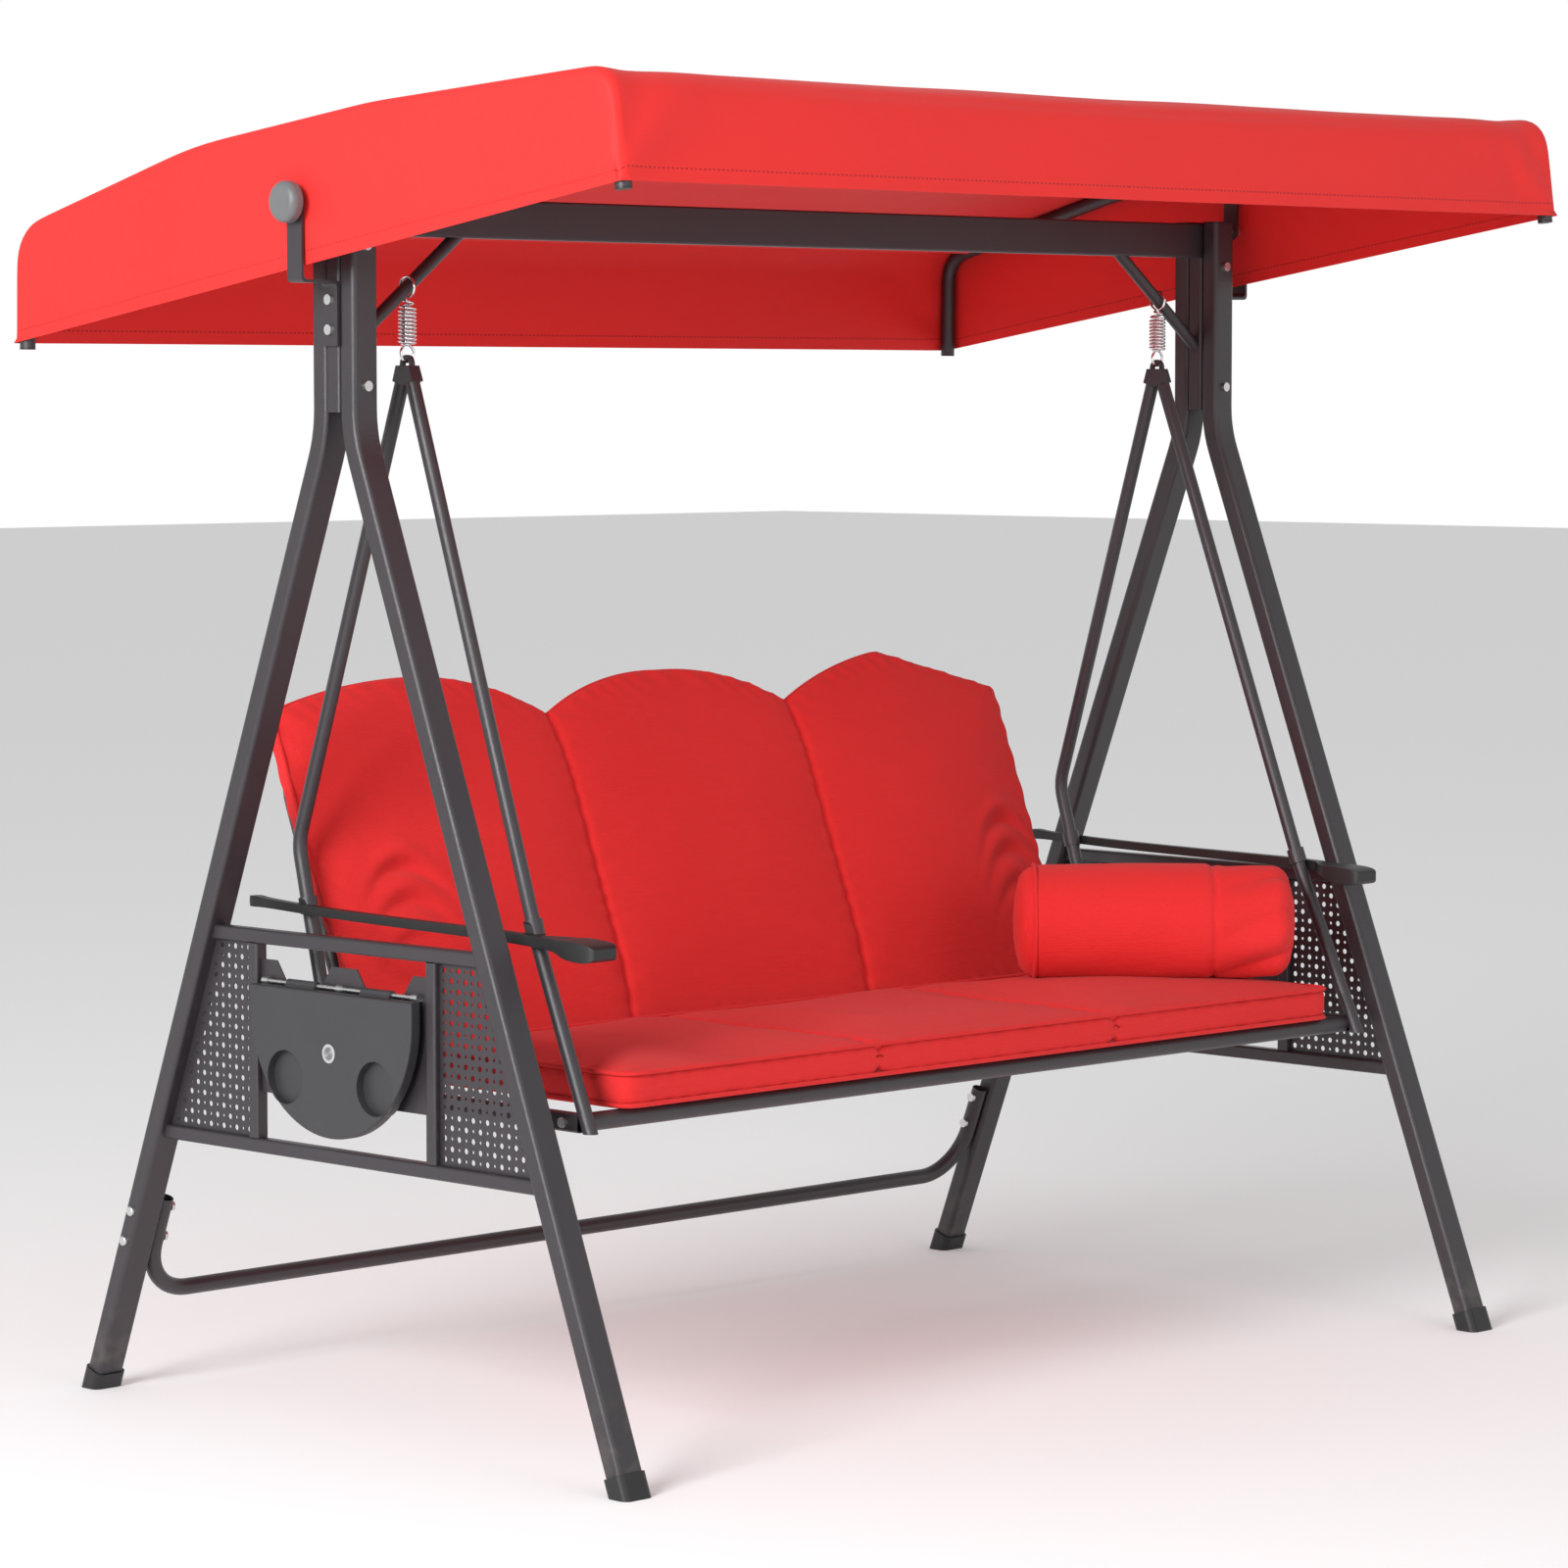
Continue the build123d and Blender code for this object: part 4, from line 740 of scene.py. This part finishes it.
# %% Piping along an edge
def piping(name, line, radius=0.0032, closed=True):
    """A round welt along a run of points."""
    curve = bpy.data.curves.new(name, "CURVE")
    curve.dimensions = "3D"
    curve.bevel_depth = radius
    curve.bevel_resolution = 2
    spline = curve.splines.new("POLY")
    spline.points.add(len(line) - 1)
    for point, place in zip(spline.points, line):
        point.co = (*place, 1)
    spline.use_cyclic_u = closed
    piece = bpy.data.objects.new(name, curve)
    bpy.context.scene.collection.objects.link(piece)
    pick(piece)
    bpy.ops.object.convert(target="MESH")
    return bpy.context.object


def run_of(points, step=0.012):
    """The same closed outline with a point about every step."""
    loop = np.vstack([points, points[:1]])
    reach = np.concatenate([[0], np.cumsum(np.hypot(*np.diff(loop, axis=0).T))])
    at = np.linspace(0, reach[-1], int(reach[-1] / step), endpoint=False)
    return np.column_stack([np.interp(at, reach, loop[:, i]) for i in range(2)])


# %% [markdown]
# ## The seat cushion
# Three places side by side in one cover. Its front is boxed, with a welt round the top and another
# round the bottom, and the cloth gathers where a cross seam meets the welt.

# %% Outline of the seat cushion
seat_low, seat_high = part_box("seat_cushion")
seat_half_x = seat_high.x - 0.002
seat_middle_y = (seat_low.y + seat_high.y) / 2
seat_half_y = (seat_high.y - seat_low.y) / 2
seat_thick = seat_high.z - seat_low.z - 0.003
section_seam_x = 0.246
seat_corner = 0.024


def rounded_box(half_x, half_y, corner, pull_in):
    """A rectangle with round corners whose sides pull in a little between them."""
    points = []
    for quarter, (sign_x, sign_y) in enumerate(((1, 1), (-1, 1), (-1, -1), (1, -1))):
        middle_x, middle_y = sign_x * (half_x - corner), sign_y * (half_y - corner)
        for k in range(7):
            angle = quarter * pi / 2 + k * pi / 12
            points.append((middle_x + corner * cos(angle), middle_y + corner * sin(angle)))
    line = run_of(np.array(points))
    along_side = np.cos(line[:, 0] / half_x * pi / 2) ** 0.5
    on_side = abs(line[:, 1]) > half_y * 0.8
    line[:, 1] -= np.sign(line[:, 1]) * pull_in * along_side * on_side
    return line


seat_outline = rounded_box(seat_half_x, seat_half_y, seat_corner, 0.004)
seat_seams = [[(s * section_seam_x, -seat_half_y), (s * section_seam_x, seat_half_y)]
              for s in (-1, 1)]

# %% Make the seat cushion
seat_rim_share, seat_crown_reach, flat_below = 0.74, 0.085, 1.0
pressure = 5.0
seat, seat_edge = cut_cushion("seat_cushion_cover", seat_outline, seat_thick, seat_seams,
                              seat_rim_share, seat_crown_reach, flat_below)
stuff(seat, seat_edge, seat_seams, pressure, cap=0.010)
sew(seat, seat_outline, seat_seams)
net = places(seat)
swell = np.array([noise.noise(Vector((p[0] * 3.3, p[1] * 6.0, 4))) for p in net])
from_rim = np.minimum(distance_to(seat_outline, net[:, :2]) / 0.06, 1)
net[:, 2] += (net[:, 2] > 0) * from_rim * (0.006 * swell - 0.001)
bottom = -seat_thick / 2
net[:, 2] = np.maximum(net[:, 2], bottom + 0.001)
place_all(seat, net)
welt_high = seat_thick * seat_rim_share / 2 - 0.001
welt_low = 0.004 - seat_thick / 2
welt_line = [(x * 0.9985, y * 0.997) for x, y in run_of(seat_outline)]
welts = [piping("welt", [(x, y, z) for x, y in welt_line]) for z in (welt_high, welt_low)]
seat = join("seat_cushion_cover", [seat] + welts)
seat.data.transform(Matrix.Translation((0, seat_middle_y, seat_low.z + seat_thick / 2)))
smooth(seat, 60)
dress(seat, "cushion_fabric", "bench")
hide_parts("seat_cushion")
print("seat cushion", len(seat.data.polygons), "faces")

# %% [markdown]
# ## The back cushion
# Its top edge is scalloped: a dome over the middle place and a lopsided peak over each side place,
# meeting in valleys where the seams start. Its edge is a single seam, and at the left it is wider,
# where it hangs over the corner of the hoop. It leans against that hoop, so it is made flat and
# then laid back by the hoop's lean.

# %% Outline of the back cushion
back_net = places(nodes["back_cushion"])
recline = radians(21.6)
up_slope = Vector((0, sin(recline), cos(recline)))
out_of_face = Vector((0, -cos(recline), sin(recline)))
heights = back_net @ np.array(up_slope)
depths = back_net @ np.array(out_of_face)
back_low, back_tall = heights.min(), heights.max() - heights.min()
back_rear, back_thick = depths.min(), depths.max() - depths.min()
print("back cushion", round(back_tall, 4), "tall", round(back_thick, 4), "thick")
valley_drop, dome_drop = 0.068, 0.009
margin = 0.004


def arch(start, middle, end, count=14):
    """Points of the arc through three points."""
    (ax, ay), (bx, by), (cx, cy) = start, middle, end
    d = 2 * (ax * (by - cy) + bx * (cy - ay) + cx * (ay - by))
    a, b, c = ax**2 + ay**2, bx**2 + by**2, cx**2 + cy**2
    ux = (a * (by - cy) + b * (cy - ay) + c * (ay - by)) / d
    uy = (a * (cx - bx) + b * (ax - cx) + c * (bx - ax)) / d
    first, last = atan2(ay - uy, ax - ux), atan2(cy - uy, cx - ux)
    radius = hypot(ax - ux, ay - uy)
    angles = [first + (last - first) * k / count for k in range(count + 1)]
    return [(ux + radius * cos(angle), uy + radius * sin(angle)) for angle in angles]


top = back_tall + 0.009
valley = (section_seam_x, top - valley_drop)
left_valley = (-valley[0], valley[1])
dome_middle = (section_seam_x / 2, top - (valley_drop + dome_drop) / 2 + 0.018)
right_side = [(0, margin), (0.668, margin), (0.698, 0.030), (0.706, 0.075), (0.713, top - 0.082),
              (0.708, top - 0.064), (0.505, top - 0.006), (0.476, top + 0.003)]
right_side += arch((0.462, top + 0.002), (0.352, top - 0.024), valley)
middle_top = arch(valley, dome_middle, (0, top - dome_drop))[1:]
left_side = arch(left_valley, (-0.350, top - 0.022), (-0.500, top - 0.001))[1:]
left_side += arch((-0.500, top - 0.001), (-0.630, top - 0.012), (-0.742, top - 0.036))[1:]
left_side += [(-0.757, top - 0.056), (-0.757, 0.300), (-0.735, 0.120), (-0.705, 0.030),
              (-0.668, margin)]
middle_top += [(-x, y) for x, y in reversed(middle_top[:-1])] + [left_valley]
back_outline = run_of(np.array(right_side + middle_top + left_side))
back_seams = [[(s * section_seam_x, 0), (s * section_seam_x, valley[1])] for s in (-1, 1)]

# %% Make the back cushion
cover_thick = back_thick - 0.012
back_rim_share, back_crown_reach = 0.34, 0.13
back, back_edge = cut_cushion("back_cushion_cover", back_outline, cover_thick, back_seams,
                              back_rim_share, back_crown_reach)
stuff(back, back_edge, back_seams, pressure, cap=0.012)
sew(back, back_outline, back_seams)

# %% [markdown]
# Low on each side the cover is drawn in where it ties to the frame. Three curved dents, one above
# the other and each with a soft roll over it, give the folds that such a tie makes. At the far
# left the cover also leans back round the hoop.

# %% Dents beside the ties
dents = ((0.225, 0.013), (0.175, 0.010), (0.120, 0.007))
net = places(back)
for side in (-1, 1):
    beside = gauss(net[:, 0] - side * 0.620, 0.045)
    for height, depth in dents:
        arc_height = height + 0.05 - ((net[:, 0] - side * 0.625) / 0.07) ** 2 * 0.045
        dent = gauss(net[:, 1] - arc_height, 0.012) * beside
        net[:, 2] -= depth * dent * (net[:, 2] > 0)
        roll = gauss(net[:, 1] - arc_height - 0.022, 0.014)
        net[:, 2] += depth * 0.5 * roll * (net[:, 2] > 0) * beside
half_back = cover_thick / 2
net[:, 2] -= 0.010 * np.clip((-net[:, 0] - 0.68) / 0.07, 0, 1) ** 2
net[:, 2] = np.maximum(net[:, 2], -half_back)
place_all(back, net)
welt = piping("welt", [(x, y, 0.0) for x, y in back_outline])
back = join("back_cushion_cover", [back, welt])
from_back = back_rear + half_back
lay_back = Matrix((
    (1, 0, 0, 0),
    (0, up_slope.y, out_of_face.y, up_slope.y * back_low + out_of_face.y * from_back),
    (0, up_slope.z, out_of_face.z, up_slope.z * back_low + out_of_face.z * from_back),
    (0, 0, 0, 1)))
back.data.transform(lay_back)
smooth(back, 60)
dress(back, "cushion_fabric", "bench")
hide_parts("back_cushion")
print("back cushion", len(back.data.polygons), "faces")

# %% [markdown]
# ## The bolster
# A round pillow in a drawn sleeve. One end is finished with a welt, and at the other the sleeve is
# gathered: past a seam the cloth breaks into facets that deepen towards the end.

# %% Roll the bolster
bolster_net = places(nodes["bolster_pillow"])
bolster_low, bolster_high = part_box("bolster_pillow")
bolster_middle = (bolster_low + bolster_high) / 2
bolster_turn = radians(-45)
axis = np.array((cos(bolster_turn), sin(bolster_turn), 0))
across = np.array((-sin(bolster_turn), cos(bolster_turn), 0))
centre = np.array(bolster_middle)
ends_at = (bolster_net - centre) @ axis
bolster_half = ends_at.max() - 0.003
bolster_radius = (bolster_high.z - bolster_low.z) / 2 - 0.001
around, rings = 128, 120
shoulder = 0.036
gather_from = bolster_half * 0.42


def rounding(at):
    """How far the radius shrinks near the two ends."""
    from_end = bolster_half - abs(at)
    bend = shoulder if at < 0 else shoulder * 0.8
    if from_end > bend:
        return 1.0
    return 1 - 0.40 * (1 - (1 - (1 - from_end / bend) ** 2) ** 0.5)


def bolster_skin(at, angle):
    """The pillow's radius at one place along it and round it."""
    radius = bolster_radius * rounding(at) * (1 - 0.010 * (at / bolster_half) ** 2)
    if at > gather_from:
        grow = (at - gather_from) / (bolster_half - gather_from)
        facet = abs(sin(angle * 3.5 + 2.2 * grow + 0.7)) - 0.5
        radius -= (0.009 * grow + 0.002) * (0.5 - facet) * 1.2
        crumple = noise.noise(Vector((cos(angle) * 2, sin(angle) * 2, at * 18)))
        radius -= 0.004 * grow * (crumple + 0.5)
    radius -= 0.0035 * exp(-((at - gather_from) / 0.005) ** 2)
    lump = noise.noise(Vector((cos(angle) * 1.4, sin(angle) * 1.4, at * 9)))
    return radius + (0.0016 * lump - 0.0008)


# %% Lay its rings
lowest = 0.0045 - bolster_radius
up = np.array((0, 0, 1))
bolster_points, bolster_faces = [], []
for ring in range(rings + 1):
    at = -bolster_half + 2 * bolster_half * ring / rings
    for k in range(around):
        angle = 2 * pi * k / around
        radius = bolster_skin(at, angle)
        height = max(radius * sin(angle), lowest)
        bolster_points.append(centre + axis * at + across * radius * cos(angle) + up * height)
for ring in range(rings):
    here, there = ring * around, (ring + 1) * around
    for k in range(around):
        after = (k + 1) % around
        bolster_faces.append((here + k, here + after, there + after, there + k))
first_cap = list(range(around))[::-1]
last_cap = list(range(rings * around, (rings + 1) * around))
bolster = mesh_piece("bolster_cover", bolster_points, bolster_faces + [first_cap, last_cap])
pick(bolster)
bpy.ops.object.mode_set(mode="EDIT")
bpy.ops.mesh.select_all(action="SELECT")
bpy.ops.mesh.normals_make_consistent(inside=False)
bpy.ops.object.mode_set(mode="OBJECT")

# %% Crown the two ends of the bolster
pick(bolster)
bpy.ops.object.mode_set(mode="EDIT")
mesh = bmesh.from_edit_mesh(bolster.data)
caps = [face for face in mesh.faces if len(face.verts) > 4]
crown_steps = ((0.86, 0.0021), (0.72, 0.001575), (0.62, 0.000875), (0.45, 0.00035))
for shrink, out in crown_steps:
    for cap in caps:
        bmesh.ops.inset_individual(mesh, faces=[cap], thickness=0)
        middle = cap.calc_center_median()
        way = np.sign((np.array(middle) - centre) @ axis)
        for vertex in cap.verts:
            vertex.co = middle + (vertex.co - middle) * shrink + Vector(axis * way * out)
bmesh.ops.poke(mesh, faces=caps)
bmesh.update_edit_mesh(bolster.data)
bpy.ops.object.mode_set(mode="OBJECT")
welt_at = -bolster_half + shoulder * 0.72
welt_radius = bolster_radius * 0.975
welt_middle = centre + axis * welt_at
welt_ring = [tuple(welt_middle + across * welt_radius * cos(a) + up * welt_radius * sin(a))
             for a in np.linspace(0, 2 * pi, 96, endpoint=False)]
bolster = join("bolster_cover", [bolster, piping("welt", welt_ring)])
smooth(bolster, 60)
dress(bolster, "cushion_fabric", "bench")
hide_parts("bolster_pillow")
print("bolster", len(bolster.data.polygons), "faces")

# %% [markdown]
# ## The armrests
# Each armrest is one moulding: a thin bar with a small round end at the back, which dips a little
# towards the front and spreads into a broad pad. A cube is drawn out of itself, station by station,
# with extrude and resize, and then bevelled and smoothed, so that bar and pad stay one skin.

# %% Stations of an armrest, from back to front, each as x, y, dip, width and height
arm_low, arm_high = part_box("right_armrest")
bar_x = arm_high.x - 0.008
pad_x = (arm_low.x + arm_high.x) / 2
arm_z = (arm_low.z + arm_high.z) / 2
arm_stations = [
    (bar_x, 0.293, 0.001, 0.008, 0.007), (bar_x, 0.289, 0.001, 0.015, 0.015),
    (bar_x, 0.276, 0.001, 0.016, 0.016), (bar_x, 0.264, 0.000, 0.013, 0.012),
    (bar_x, 0.120, -0.006, 0.014, 0.013), (bar_x, -0.060, -0.009, 0.014, 0.013),
    (bar_x, -0.230, -0.011, 0.015, 0.014), (bar_x, -0.300, -0.014, 0.017, 0.015),
    (pad_x + 0.004, -0.322, -0.016, 0.036, 0.016), (pad_x, -0.340, -0.018, 0.048, 0.017),
    (pad_x, -0.352, -0.021, 0.052, 0.026), (pad_x, -0.392, -0.024, 0.052, 0.027),
    (pad_x, -0.405, -0.024, 0.048, 0.020), (pad_x, -0.409, -0.024, 0.040, 0.012),
]


# %% Draw out an armrest
def armrest(side_name, side):
    """One armrest, extruded through its stations."""
    x, y, dip, wide, high = arm_stations[0]
    bpy.ops.object.select_all(action="DESELECT")
    bpy.ops.mesh.primitive_cube_add(
        size=1, location=(side * x, y, arm_z + dip), scale=(wide, 0.001, high))
    arm = bpy.context.object
    arm.name = side_name + "_armrest_moulding"
    bpy.ops.object.transform_apply(location=True, rotation=True, scale=True)
    bpy.ops.object.mode_set(mode="EDIT")
    bpy.ops.mesh.select_mode(type="FACE")
    bpy.ops.mesh.select_all(action="DESELECT")
    mesh = bmesh.from_edit_mesh(arm.data)
    for face in mesh.faces:
        face.select_set(face.normal.y < -0.9)
    bmesh.update_edit_mesh(arm.data)
    for before, after in zip(arm_stations, arm_stations[1:]):
        step = (side * (after[0] - before[0]), after[1] - before[1], after[2] - before[2])
        bpy.ops.mesh.extrude_region_move(TRANSFORM_OT_translate={"value": step})
        bpy.ops.transform.resize(
            value=(after[3] / before[3], 1, after[4] / before[4]),
            center_override=(side * after[0], after[1], arm_z + after[2]))
    bpy.ops.mesh.select_all(action="SELECT")
    bpy.ops.mesh.normals_make_consistent(inside=False)
    bpy.ops.object.mode_set(mode="OBJECT")
    settle(arm, "BEVEL", width=0.0024, segments=2, limit_method="ANGLE", angle_limit=radians(40))
    settle(arm, "SUBSURF", levels=2, render_levels=2)
    smooth(arm, 60)
    dress(arm, "black_plastic", "bench")
    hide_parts(side_name + "_armrest")
    print(arm.name, len(arm.data.polygons), "faces")


for side_name, side in (("left", -1), ("right", 1)):
    armrest(side_name, side)

# %% [markdown]
# ## The springs
# Each spring is a single wire: a loop round the brace, a few narrowing turns, the working coil,
# narrowing turns again and a loop through the hanger's eye.

# %% Wind the springs
hook_low, hook_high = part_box("spring_top_hooks")
eye_low, eye_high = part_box("spring_bottom_hooks")
coil_low, coil_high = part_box("springs")
wire = 0.002
hook_x = coil_high.x - (coil_high.y - coil_low.y) / 2
coil_radius = (coil_high.y - coil_low.y) / 2 - wire
ring_z = hook_high.z - (hook_high.y - hook_low.y) / 2
ring_radius = (hook_high.y - hook_low.y) / 2 - wire
eye_radius = (eye_high.x - hook_x) - wire
eye_z = eye_low.z + eye_radius + wire
coil_turns, neck_turns, turn_steps = 9, 1.5, 24
neck_radius = 0.003


def spring_ring():
    """The loop round the brace, open where the wire leaves it."""
    angles = [-pi / 2 + 0.35 + (2 * pi - 0.55) * k / 32 for k in range(33)]
    loop = [(0, ring_radius * cos(a), ring_z + ring_radius * sin(a)) for a in angles]
    return loop[::-1]


def spring_eye():
    """The loop through the hanger's eye."""
    points = []
    for k in range(1, 30):
        angle = pi / 2 - (2 * pi - 0.5) * k / 29
        across_eye = 0.001 * (k / 29 - 0.5)
        points.append((eye_radius * cos(angle), across_eye, eye_z + eye_radius * sin(angle)))
    return points


def spring_line():
    """The wire's middle line, about the hook's vertical."""
    points = spring_ring()
    top_z, low_z = coil_high.z, coil_low.z

    def turn_to(angle, radius, z):
        points.append((radius * cos(angle), radius * sin(angle), z))

    neck_z = ring_z - ring_radius - 0.002
    for k in range(int(neck_turns * turn_steps) + 1):
        share = k / (neck_turns * turn_steps)
        radius = neck_radius + (coil_radius - neck_radius) * share ** 0.7
        angle = 2 * pi * neck_turns * share + pi / 2
        turn_to(angle, radius, neck_z + (top_z - neck_z) * share)
    start_angle = 2 * pi * neck_turns + pi / 2
    total = coil_turns * turn_steps
    for k in range(1, total + 1):
        share = k / total
        angle = start_angle + 2 * pi * coil_turns * share
        turn_to(angle, coil_radius, top_z + (low_z - top_z) * share)
    base_angle = start_angle + 2 * pi * coil_turns
    end_z = eye_z + eye_radius + 0.001
    for k in range(1, turn_steps + 1):
        share = k / turn_steps
        radius = coil_radius + (neck_radius - coil_radius) * share ** 1.4
        turn_to(base_angle + 2 * pi * share, radius, low_z + (end_z - low_z) * share)
    return points + spring_eye()


springs = []
for side in (-1, 1):
    line = [(side * hook_x + x, y, z) for x, y, z in spring_line()]
    springs.append(piping("spring", line, radius=wire, closed=False))
springs = join("extension_springs", springs)
smooth(springs, 60)
springs.data.materials.clear()
springs.data.materials.append(finishes["spring_steel"])
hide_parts("springs", "spring_top_hooks", "spring_bottom_hooks")
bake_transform(springs)
print("springs", len(springs.data.polygons), "faces at x", round(hook_x, 4))

# %% [markdown]
# ## Studio
# A pale floor, one large soft light from the sitters' right and a weaker one in front keep the
# shadows open. The backdrop is white near the horizon and weaker overhead, so that the canopy's
# top doesn't burn out, and the floor glows faintly so that it stays pale under the bench.

# %% Floor and light
bpy.ops.object.select_all(action="DESELECT")
bpy.ops.mesh.primitive_plane_add(size=80, location=(0, 0, 0))
floor = bpy.context.object
floor.name = "floor"
pale = {"Roughness": 0.9, "Base Color": (0.86, 0.86, 0.87, 1), "Emission Color": (1, 1, 1, 1),
        "Emission Strength": 0.14}
floor.data.materials.append(Finish("floor", pale).material)

world = bpy.data.worlds.new("studio")
bpy.context.scene.world = world
world.use_nodes = True
sky = world.node_tree
backdrop = sky.nodes["Background"]
backdrop.inputs["Color"].default_value = (1.0, 1.0, 1.0, 1)
direction = sky.nodes.new("ShaderNodeTexCoord")
parts = sky.nodes.new("ShaderNodeSeparateXYZ")
fall = sky.nodes.new("ShaderNodeMapRange")
backdrop_fall = (("From Min", 0.10), ("From Max", 0.40), ("To Min", 1.0), ("To Max", 0.50))
for name, value in backdrop_fall:
    fall.inputs[name].default_value = value
sky.links.new(direction.outputs["Generated"], parts.inputs[0])
sky.links.new(parts.outputs["Z"], fall.inputs["Value"])
sky.links.new(fall.outputs[0], backdrop.inputs["Strength"])


def soft_light(name, place, size, power, aim=Vector((0, 0, 1.0))):
    """A square area light that faces the swing."""
    light = bpy.data.lights.new(name, "AREA")
    light.size, light.energy = size, power
    lamp = bpy.data.objects.new(name, light)
    lamp.location = place
    lamp.rotation_euler = (aim - Vector(place)).to_track_quat("-Z", "Y").to_euler()
    bpy.context.scene.collection.objects.link(lamp)


soft_light("key", (-6.5, -1.6, 3.4), 2.6, 430)
soft_light("front", (-1.0, -7.5, 2.8), 3.0, 70)

# %% [markdown]
# ## Camera
# A long lens from well back, just below the canopy's hem, looking along the diagonal.

# %% Place the camera
lens = bpy.data.cameras.new("camera")
lens.lens = 123.4
lens.sensor_width = 36
camera = bpy.data.objects.new("camera", lens)
camera.location = (-5.563, -5.513, 1.417)
camera.rotation_euler = (radians(90 - 4.17), 0, radians(-45))
bpy.context.scene.collection.objects.link(camera)
bpy.context.scene.camera = camera
bpy.context.scene.view_settings.view_transform = "Standard"
